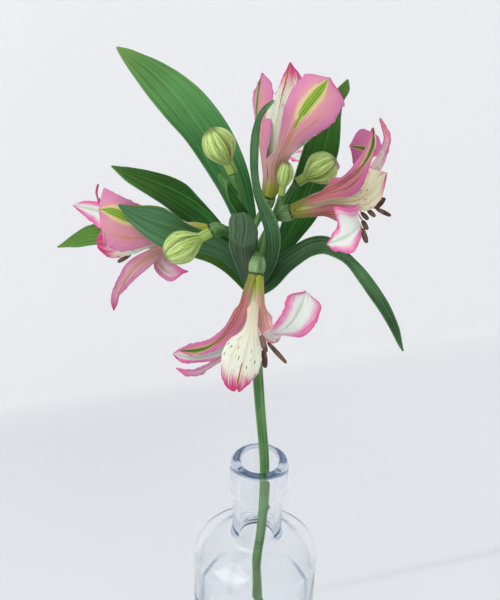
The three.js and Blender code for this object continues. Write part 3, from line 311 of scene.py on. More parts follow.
class Curve:
    """A smooth line through points, measured along its own length from 0 to 1."""
    FINE = 240

    def __init__(self, points):
        knots = [Vector(p) for p in points]
        knots = [2 * knots[0] - knots[1], *knots, 2 * knots[-1] - knots[-2]]
        spans = len(knots) - 3
        self.points = []
        for i in range(self.FINE + 1):
            place = i / self.FINE * spans
            k = min(int(place), spans - 1)
            t = place - k
            p0, p1, p2, p3 = knots[k:k + 4]
            self.points.append(0.5 * (2 * p1 + (p2 - p0) * t + (2 * p0 - 5 * p1 + 4 * p2 - p3) * t ** 2
                                      + (3 * p1 - p0 - 3 * p2 + p3) * t ** 3))
        self.lengths = [0.0]
        for a, b in zip(self.points, self.points[1:]):
            self.lengths.append(self.lengths[-1] + (b - a).length)

    def at(self, u):
        """Point and direction at u."""
        goal = min(max(u, 0), 1) * self.lengths[-1]
        low, high = 0, self.FINE
        while high - low > 1:
            middle = (low + high) // 2
            if self.lengths[middle] <= goal:
                low = middle
            else:
                high = middle
        a, b = self.points[low], self.points[high]
        share = (goal - self.lengths[low]) / (self.lengths[high] - self.lengths[low])
        return a.lerp(b, share), (b - a).normalized()


def across(tangent, hint):
    """Two directions at right angles to a tangent: sideways, and towards the hint."""
    side = tangent.cross(hint).normalized()
    return side, side.cross(tangent).normalized()


def sheet(bm, rows, columns, place, material=0, tip_bias=1.0, span=None):
    """A grid laid along place(u, x): u from 0 to 1 along it, x from -1 to 1 across.

    Its map "blade" holds u and (x + 1) / 2, and its map "span" the millimetres that
    span(u, x) gives. More rows lie near the far end.
    """
    blade = bm.loops.layers.uv.get("blade") or bm.loops.layers.uv.new("blade")
    real = bm.loops.layers.uv.get("span") or bm.loops.layers.uv.new("span")
    made = bmesh.ops.create_grid(bm, x_segments=rows, y_segments=columns, size=1)["verts"]
    homes = {v: (1 - (1 - (v.co.x + 1) / 2) ** tip_bias, v.co.y) for v in made}
    faces = {face for v in made for face in v.link_faces}
    for face in faces:
        face.material_index = material
        for loop in face.loops:
            u, x = homes[loop.vert]
            loop[blade].uv = (u, (x + 1) / 2)
            if span:
                loop[real].uv = span(u, x)
    for v, (u, x) in homes.items():
        v.co = place(u, x) * MM
    return made


def tube(bm, rows, around, centre, radius, material=0):
    """A closed round skin: centre(u) gives its middle and two directions across it,
    radius(u, angle) its size, and it ends in a pole wherever that is nothing."""
    def place(u, x):
        middle, side, normal = centre(u)
        angle = pi * x
        size = radius(u, angle)
        return middle + side * cos(angle) * size + normal * sin(angle) * size
    made = sheet(bm, rows, around, place, material)
    bmesh.ops.remove_doubles(bm, verts=made, dist=1e-7)
    made = [v for v in made if v.is_valid]
    edges = list({e for v in made for e in v.link_edges if e.is_boundary})
    if edges:
        bmesh.ops.holes_fill(bm, edges=edges)


HINT = Vector((0.31, 0.93, 0.2))


def stalk(bm, points, radii, rows, around, swell=None):
    """A round stalk through points; its radius runs evenly through radii."""
    curve = Curve(points)

    def centre(u):
        point, tangent = curve.at(u)
        side, normal = across(tangent, HINT)
        return point, side, normal

    def radius(u, angle):
        place = u * (len(radii) - 1)
        k = min(int(place), len(radii) - 2)
        size = lerp(radii[k], radii[k + 1], place - k)
        return size * (swell(u, angle) if swell else 1)
    tube(bm, rows, around, centre, radius)


FRONT = Vector((0, -0.85, 0.52))


def seat_frame(bloom):
    """Where a bloom sits: base, axis, the way its front looks, and its side."""
    base, axis = SEATS[bloom]
    w = Vector(axis).normalized()
    front = (FRONT - w * FRONT.dot(w)).normalized()
    return Vector(base), w, front, w.cross(front)


def knobbly(u, angle):
    """Faint ribs along the main stalk, and slow swellings."""
    return 1 + 0.02 * cos(5 * angle) + 0.03 * noise.noise(Vector((u * 9, cos(angle), 0)))


bm = bmesh.new()
stalk(bm, MAIN, (2.3, 2.1, 2.1, 2.4), 90, 20, swell=knobbly)
for points, radii, bloom in RAYS:
    if bloom:
        base, w, front, side = seat_frame(bloom)
        points = [*points, base - w * (OVARY_LENGTH + 1.5), base - w * (OVARY_LENGTH - 1)]
    stalk(bm, points, radii, 28, 12, swell=lambda u, angle: 1 + 0.03 * cos(3 * angle))
for bloom in SEATS:
    base, w, front, side = seat_frame(bloom)

    def ovary_centre(u):
        return base + w * ((u - 1) * OVARY_LENGTH - 0.3), front, side

    def ovary_radius(u, angle):
        plump = 0.45 + 0.55 * sin(pi * (0.12 + 0.62 * u))
        rib = 1 + 0.13 * (abs(cos(3 * angle)) ** 0.7 * 2 - 1)
        return OVARY_RADIUS * plump * rib
    tube(bm, 18, 48, ovary_centre, ovary_radius, 1)
bmesh.ops.recalc_face_normals(bm, faces=bm.faces)


def plant_skin(name, roughness, **settings):
    """A material for thin living tissue, which lets a little light through."""
    return fresh_material(name, Roughness=roughness, Subsurface_Weight=0.1,
                          Subsurface_Radius=(0.6, 0.9, 0.3), Subsurface_Scale=0.0015,
                          IOR=1.38, **settings)


def stem_material(name, dark, light, stretch, along=3):
    pad = plant_skin(name, 0.42)
    streak = pad.noise(pad.stretch(pad.map("blade"), along, stretch), 1, 3)
    patch = pad.times(pad.noise(pad.spot(), 70, 3), 0.4)
    pad.coat(pad.mix(pad.smooth(pad.scaled(streak, 0.6, patch), 0.36, 0.64), dark, light), streak)
    return pad.material


stem_green = stem_material("stem_green", (0.03, 0.12, 0.022, 1), (0.125, 0.285, 0.08, 1), 13)
ovary_green = stem_material("ovary_green", (0.07, 0.17, 0.045, 1), (0.27, 0.42, 0.18, 1), 26, 0.8)
set_down("stem", bm, "stem", "stem", stem_green, ovary_green)


# ---------------------------------------------------------------- leaves
# Lance-shaped leaves that clasp the stem below the flowers. Each is one thin blade with
# veins side by side and a channel along its midrib. One is folded over at its top.
LEAF_THICKNESS, LEAF_ROWS, LEAF_COLUMNS = 0.55, 72, 40
# shares of a blade's length at which its two half widths, in millimetres, are given
STOPS = (0, 0.15, 0.3, 0.42, 0.52, 0.61, 0.7, 0.78, 0.85, 0.91, 0.96, 1)
LEAVES = {
    "tall_left": dict(
        spine=[(-6.3, -13, 236.3), (-7.1, -6, 243.4), (-9.5, 0, 255.1), (-14.2, 3, 269.3), (-21, 6, 282.2),
               (-28, 7.5, 293), (-36.3, 9, 303.6), (-46.8, 11, 313.3), (-59, 12, 321.2)],
        root=(0.2, -0.9, 0.3), fold=0.12, green="mid",
        face=[(0.5, (0.3, -0.85, 0.4)), (0.9, (0.5, -0.75, 0.5))],
        left=(1.7, 2.6, 4.8, 6.4, 7.2, 7.6, 8.8, 8.8, 7.8, 5.8, 3, 0.25),
        right=(1.9, 3.6, 5.9, 8.1, 9.1, 9.2, 8.5, 7, 5.1, 3.3, 2.1, 0.25)),
    "mid_left": dict(
        spine=[(-6.3, -13, 236.3), (-12.5, -10, 248.1), (-19.8, -5, 259), (-26.9, -1, 264.3),
               (-34.9, -1, 269.5), (-44.2, -3, 274.7), (-53.1, -6, 279.4), (-59.6, -8, 282.9)],
        root=(0.1, -0.7, 0.7), fold=0.15, green="in_shade",
        face=[(0.5, (0.2, -0.75, 0.65)), (0.9, (0.3, -0.8, 0.6))],
        left=(2, 3.6, 5.6, 8.6, 9.2, 8.5, 7.1, 6, 4.8, 3.5, 1.7, 0.25),
        right=(1.2, 1.9, 1, 0.7, 1.8, 3.8, 4, 3.4, 2.7, 1.9, 0.9, 0.25)),
    "grey_left": dict(
        spine=[(-6.4, -13, 238.1), (-10.8, -15, 247.9), (-16.6, -18, 255.8), (-24.3, -21, 261.7),
               (-33.2, -25, 267.2), (-43.6, -29, 272.5), (-54.5, -31, 278.6)],
        root=(-0.2, -0.6, 0.7), fold=0.08, green="grey",
        face=[(0.5, (-0.3, -0.8, 0.5)), (0.9, (-0.35, -0.9, 0.1))],
        left=(1.9, 4.1, 5.1, 5.7, 7, 8.1, 8.8, 7.4, 5.8, 4.2, 1.9, 0.25),
        right=(1, 1.7, 2.5, 2.1, 1.8, 2.4, 4.4, 6, 5.4, 3.1, 1.4, 0.25)),
    "low_left": dict(
        spine=[(-6.2, -13, 233.7), (-13.1, -8, 239), (-18.3, -5, 242.4), (-25.2, -1, 244.4),
               (-39.2, 3, 246.9), (-62.9, 4, 248.1), (-76.7, 3, 245.4), (-83.6, 2, 242.5)],
        root=(0, -0.6, 0.8), fold=0.12, green="bright", face=[(0.5, (0, -0.7, 0.7)), (0.9, (0, -0.8, 0.6))],
        left=(1.8, 2.4, 3.8, 4.9, 4.7, 4.2, 4.2, 3.9, 3.5, 3, 1.6, 0.25),
        right=(0.4, 4.6, 5.1, 3.5, 3.2, 3.2, 3.6, 4.3, 3.8, 2.1, 0.7, 0.25)),
    "front_left": dict(
        spine=[(-6.4, -13, 237.7), (-8.8, -19, 245.1), (-10.4, -25, 255.7), (-10.9, -30, 265.9),
               (-11.4, -33.5, 274.1), (-10.8, -36, 279.7), (-9.3, -40, 279.1), (-9.1, -42.5, 275.8),
               (-10, -44, 270.5)],
        root=(0.1, -0.9, -0.2), fold=0.1, green="dusk", back="dusk", face=[(0.4, (0.1, -0.85, 0.52))],
        left=(2.6, 2.1, 2.6, 3.6, 4.4, 3.7, 4, 3.8, 6, 5.6, 5.3, 0.25),
        right=(1.7, 4.1, 5, 5, 4.9, 5.7, 4.3, 1.7, 2.6, 4.4, 3.6, 0.25)),
    "front_right": dict(
        spine=[(-6.4, -13, 238.1), (-2.3, -16, 242.7), (0.5, -17, 249.1), (0.9, -18, 256.5),
               (-0.1, -19.5, 264.8), (-2.7, -21.5, 273.9), (-5.5, -23, 281.7), (-7, -24.5, 290.2),
               (-7.4, -25, 298.7), (-7.2, -25, 306.2), (-5.2, -24, 312.4), (-1.4, -21, 315.7)],
        root=(-0.2, -0.9, 0.2), fold=0.25, green="slim",
        face=[(0.55, (-0.41, -0.78, 0.48)), (0.9, (-0.71, -0.6, 0.37))],
        left=(2.4, 2.9, 2.5, 2.6, 1.9, 1.2, 1.1, 1.1, 0.8, 0.8, 0.8, 0.25),
        right=(2.7, 1.7, 3.6, 4.1, 2.3, 1.6, 1.7, 2.1, 2.3, 1.4, 1.5, 0.25)),
    "tall_right": dict(
        spine=[(-6.3, -13, 235), (-0.4, -7, 241.6), (4.4, -2, 247.9), (9.9, 5, 256.3), (15.3, 11, 267),
               (18.9, 15, 278.9), (22.2, 18, 294.4), (26.9, 20, 309.2)],
        root=(0.2, -0.9, 0.2), fold=0.12, green="in_shade",
        face=[(0.5, (0, -0.95, 0.3)), (0.9, (-0.1, -0.95, 0.3))],
        left=(3.1, 3.1, 4.6, 7, 8, 8.1, 7.8, 6.7, 5.4, 3.6, 2, 0.25),
        right=(0.7, 2.2, 4.7, 6.6, 5.7, 5.4, 5.4, 4.2, 2.5, 1.5, 2.1, 0.25)),
    "drooping_right": dict(
        spine=[(-6.3, -13, 234.1), (-0.3, -14, 240.3), (4.4, -14, 247.1), (9.5, -13, 251.1),
               (15.7, -13, 255.5), (21.2, -14, 256.9), (26.4, -17, 254.9), (33.1, -20, 249.2),
               (39.3, -22, 241), (45.2, -24, 232.3), (52.6, -26, 218)],
        root=(-0.2, -0.8, 0.6), fold=0.2, green="slim",
        face=[(0.45, (0, -0.9, 0.45)), (0.9, (0.5, -0.75, 0.4))],
        left=(2.2, 3, 3.1, 2.5, 1.8, 2.3, 2.9, 3, 2.7, 2.2, 1.1, 0.25),
        right=(3.1, 4.7, 3.9, 3.8, 1.7, 2, 2, 1.9, 1.6, 1.1, 0.8, 0.25)),
    "bract": dict(
        spine=[(-10.3, -11, 265), (-12.6, -12.5, 269.8), (-14.8, -12, 274.4), (-16.9, -11, 279.1)],
        root=(0.3, -0.9, 0.2), fold=0.3, green="in_shade", face=[(0.9, (0.3, -0.9, 0.3))],
        left=(0.5, 0.9, 1.2, 1.4, 1.6, 1.7, 1.6, 1.5, 1.4, 1.1, 0.7, 0.25),
        right=(2.1, 2.5, 2.4, 2.2, 2.1, 1.9, 1.7, 1.5, 1.2, 1, 0.8, 0.25)),
}
# dark, light and rib colours of each kind of leaf surface, and the share of yellow at its rim; the dark
# colour is also laid towards the root as painted shade
GREENS = {
    "mid": ((0.025, 0.13, 0.028, 1), (0.10, 0.345, 0.115, 1), (0.22, 0.50, 0.20, 1), 0.5),
    # painted shade: a darker copy of the leaf green, for leaves that lie in the shade of others
    "in_shade": ((0.006, 0.05, 0.006, 1), (0.036, 0.185, 0.022, 1), (0.13, 0.36, 0.08, 1), 0.2),
    "grey": ((0.04, 0.14, 0.05, 1), (0.13, 0.30, 0.14, 1), (0.20, 0.40, 0.21, 1), 0.05),
    "dusk": ((0.035, 0.085, 0.04, 1), (0.10, 0.175, 0.085, 1), (0.22, 0.33, 0.19, 1), 0.0),
    "slim": ((0.012, 0.055, 0.012, 1), (0.14, 0.33, 0.135, 1), (0.22, 0.42, 0.20, 1), 0.0),
    "bright": ((0.03, 0.13, 0.010, 1), (0.11, 0.30, 0.030, 1), (0.22, 0.44, 0.08, 1), 0.2),
}
LEAF_TIP = (0.24, 0.40, 0.07, 1)


class Ribbon:
    """The middle line of a blade, with its side and the way its face looks."""
    STEPS = 60

    def __init__(self, points, normal, faces, calm=0):
        curve = Curve(points)
        self.length = curve.lengths[-1]
        line = [curve.at(i / self.STEPS)[0] for i in range(self.STEPS + 1)]
        for turn in range(calm):
            line[1:-1] = [b.lerp((a + c) / 2, 0.5 * (1 - smooth(0.4, 0.65, i / self.STEPS)))
                          for i, (a, b, c) in enumerate(zip(line, line[1:], line[2:]))]
        self.frames = []
        for i, point in enumerate(line):
            tangent = (line[min(i + 1, self.STEPS)] - line[max(i - 1, 0)]).normalized()
            normal = (normal - tangent * normal.dot(tangent)).normalized()
            self.frames.append((point, tangent, normal))
        turns = [(0.2, 0.0)]
        for s, goal in faces:
            point, tangent, normal = self.frames[round(s * self.STEPS)]
            turn = atan2(Vector(goal).dot(tangent.cross(normal)), Vector(goal).dot(normal))
            turn += 2 * pi * round((turns[-1][1] - turn) / (2 * pi))
            turns.append((s, turn))
        for i, (point, tangent, normal) in enumerate(self.frames):
            turn = 0
            for (s0, t0), (s1, t1) in zip(turns, turns[1:]):
                if i / self.STEPS > s0:
                    turn = lerp(t0, t1, smooth(s0, s1, i / self.STEPS))
            normal = Matrix.Rotation(turn, 3, tangent) @ normal
            self.frames[i] = (point, tangent.cross(normal), normal)

    def at(self, s):
        """Point, side and face at s."""
        spot = min(s * self.STEPS, self.STEPS - 1e-6)
        a, b = self.frames[int(spot)], self.frames[int(spot) + 1]
        return [p.lerp(q, spot % 1) for p, q in zip(a, b)]


def half_width(values, s):
    """The half width at s, drawn smoothly through the ones given at the stops."""
    def slope(i):
        a, b = max(i - 1, 0), min(i + 1, len(STOPS) - 1)
        return (values[b] - values[a]) / (STOPS[b] - STOPS[a])
    k = max(i for i in range(len(STOPS) - 1) if STOPS[i] <= s)
    span = STOPS[k + 1] - STOPS[k]
    t = (s - STOPS[k]) / span
    width = (values[k] * (1 + 2 * t) * (1 - t) ** 2 + slope(k) * span * t * (1 - t) ** 2
             + values[k + 1] * t * t * (3 - 2 * t) - slope(k + 1) * span * t * t * (1 - t))
    return max(width, 0.2)


def new_group(name, inputs, outputs):
    """A node group to fill: its inputs with their start values, None for a colour."""
    tree = bpy.data.node_groups.new(name, "ShaderNodeTree")
    for key, start in inputs.items():
        kind = "NodeSocketColor" if start is None else "NodeSocketFloat"
        socket = tree.interface.new_socket(key, in_out="INPUT", socket_type=kind)
        if start is not None:
            socket.default_value = start
    for key, kind in outputs.items():
        tree.interface.new_socket(key, in_out="OUTPUT", socket_type=kind)
    return Pad(tree), tree.nodes.new("NodeGroupInput").outputs, tree.nodes.new("NodeGroupOutput").inputs


def vein_group():
    """Long veins of a blade, from its own map: fine lines, thicker ribs and where it is."""
    pad, entry, out = new_group(
        "blade_veins", {"Ribs": 7.0, "Fine": 40.0, "Fan": 0.0, "Thin": 20.0},
        dict.fromkeys(("Rib", "Line", "Along", "Side", "Across"), "NodeSocketFloat"))
    uv = pad.map("blade")
    along, height = pad.split(uv)["X"], pad.split(uv)["Y"]
    across_blade = pad.scaled(height, 2.0, -1.0)
    drift = pad.math("SUBTRACT", pad.noise(pad.stretch(uv, 5, 2), 1, 2), 0.5)
    fan = pad.scaled(pad.smooth(along, 0.45, 1.0), pad.times(entry["Fan"], -1.0), 1.0)
    bent = pad.scaled(drift, 0.07, pad.times(across_blade, fan))

    def lines(count, thin):
        wave = pad.math("COSINE", pad.times(bent, count, pi))
        return pad.math("POWER", pad.scaled(wave, 0.5, 0.5), thin)
    broken = pad.smooth(pad.noise(pad.stretch(uv, 4, 30), 1, 2), 0.3, 0.62)
    for key, value in (("Rib", pad.times(lines(entry["Ribs"], entry["Thin"]), broken)),
                       ("Line", lines(entry["Fine"], 2.0)), ("Along", along),
                       ("Side", pad.math("ABSOLUTE", across_blade)), ("Across", bent)):
        pad.plug(out[key], value)
    return pad.tree


veins = vein_group()


def leaf_material(name, green, roughness):
    dark, light, rib, rim = GREENS[green]
    pad = plant_skin(name, roughness, Specular_IOR_Level=0.35)
    vein = pad.use(veins, Ribs=8.0, Fine=34.0)
    along, side = vein["Along"], vein["Side"]
    streak = pad.noise(pad.stretch(pad.map("blade"), 1.6, 34), 1, 4)
    mottle = pad.scaled(streak, 0.65, pad.times(pad.noise(pad.spot(), 38, 3), 0.35))
    edge = pad.times(pad.smooth(side, 0.96, 1.0), pad.smooth(along, 0.3, 0.8))
    colour = pad.layers(
        pad.mix(pad.smooth(mottle, 0.38, 0.62), dark, light),
        (pad.times(vein["Line"], 0.3), dark),
        (pad.times(vein["Rib"], 0.35), rib),
        (pad.times(pad.fade(side, 0.0, 0.05), 0.6), rib),
        # painted shade: the blade darkens towards its root, where the leaves above and the buds shade it
        (pad.times(pad.fade(along, 0.1, 0.45), 0.7), dark),
        (pad.times(pad.smooth(along, 0.45, 1.0), 0.6 * rim), LEAF_TIP),
        (pad.times(pad.math("MAXIMUM", edge, pad.smooth(along, 0.9, 1.0)), rim), LEAF_TIP))
    pad.coat(colour, pad.scaled(vein["Line"], 0.5, vein["Rib"]), 0.4, 0.0002)
    return pad.material


def thicken(piece, thickness, rim):
    """A blade's own thickness: the second material of a pair lies inside."""
    wall = piece.modifiers.new("blade", "SOLIDIFY")
    wall.thickness = thickness * MM
    wall.offset = 0
    wall.material_offset = 1
    wall.material_offset_rim = rim


leaf_faces = {green: leaf_material(f"leaf_{green}", green, 0.55 if green in ("grey", "dusk") else 0.4)
              for green in GREENS}

for number, (name, leaf) in enumerate(LEAVES.items()):
    ribbon = Ribbon(leaf["spine"], Vector(leaf["root"]), leaf["face"])

    def leaf_half(u, x):
        return half_width(leaf["left" if x < 0 else "right"], u)

    def leaf_place(u, x):
        point, side, normal = ribbon.at(u)
        half = leaf_half(u, x)
        trough = leaf["fold"] * half * abs(x) ** 1.4
        loose = smooth(0.1, 0.4, u) * (1 - smooth(0.85, 1, u))
        wave = 0.35 * x * x * sin(9 * u + number * 1.7 + 1.2 * x) * loose
        quilt = 0.06 * cos(22 * pi * x) * loose
        return point + side * (x * half) + normal * (trough + wave + quilt)

    bm = bmesh.new()
    sheet(bm, LEAF_ROWS, LEAF_COLUMNS, leaf_place, tip_bias=1.15,
          span=lambda u, x: (u * ribbon.length, x * leaf_half(u, x)))
    is_grey = leaf["green"] in ("grey", "dusk")
    back = leaf.get("back", "in_shade" if is_grey else "grey")
    piece = set_down(f"leaf_{name}", bm, f"leaf_{name}", "leaf_underside" if is_grey else "leaf",
                     leaf_faces[back], leaf_faces[leaf["green"]])
    thicken(piece, LEAF_THICKNESS, 0)


# ---------------------------------------------------------------- buds
# Closed flower buds: three green outer tepals that meet along their edges, with darker
# veins lengthwise and a tight point.
BUDS = {
    "low_left": ((-22, -29, 268), (-38, -36, 261), 5.9),
    "upper_left": ((-15, -9, 282.5), (-23.5, -8, 299), 6),
    "right": ((9, -9, 279.5), (22.5, -8, 289), 6),
    "small": ((3, -20, 279.5), (4.5, -20, 292.5), 2.9),
}
PALE, DEEP, LINE = (0.56, 0.70, 0.26, 1), (0.27, 0.42, 0.07, 1), (0.085, 0.08, 0.022, 1)

bud_green = plant_skin("bud_green", 0.42)
vein = bud_green.use(veins, Ribs=11.0, Fine=34.0, Thin=22.0)
around = bud_green.map("blade")
streak = bud_green.noise(bud_green.stretch(around, 1.6, 30), 1, 4)
# three seams, where the outer tepals meet
wave = bud_green.math("SINE", bud_green.times(bud_green.split(around)["Y"], 3 * pi))
seam = bud_green.fade(bud_green.math("ABSOLUTE", wave), 0.02, 0.2)
bud_green.coat(bud_green.layers(
    bud_green.mix(bud_green.smooth(streak, 0.4, 0.62), PALE, DEEP),
    (bud_green.times(bud_green.fade(vein["Along"], 0.0, 0.34), 0.75), DEEP),
    (bud_green.times(vein["Line"], 0.3), DEEP),
    (bud_green.times(vein["Rib"], 0.95), LINE),
    (bud_green.times(seam, 0.7), LINE),
    (bud_green.times(bud_green.smooth(vein["Along"], 0.9, 1.0), 0.8), LINE)),
    bud_green.math("ADD", vein["Rib"], seam))
for name, (neck, tip, size) in BUDS.items():
    neck, tip = Vector(neck), Vector(tip)
    axis = tip - neck
    side, normal = across(axis.normalized(), Vector((0, -0.9, 0.44)))

    def bud_centre(u):
        return neck + axis * u, side, normal

    def bud_radius(u, angle):
        t = u / 0.6
        closing = max(1 - ((t - 1) / 0.667) ** 2, 0) ** 0.55
        swell = lerp(t, 0.5 - 0.5 * cos(pi * t), 0.75) if t < 1 else closing
        girth = max(size * swell, 0.31 * size, 1.25) if t < 1 else size * swell
        lobes = 1 + 0.06 * smooth(0.1, 0.4, u) * (abs(cos(1.5 * angle)) ** 0.6 * 2 - 1)
        return girth * lobes * (1 + 0.015 * cos(13 * angle))
    bm = bmesh.new()
    tube(bm, 40, 60, bud_centre, bud_radius)
    bmesh.ops.recalc_face_normals(bm, faces=bm.faces)
    set_down(f"bud_{name}", bm, f"bud_{name}", "bud", bud_green.material)


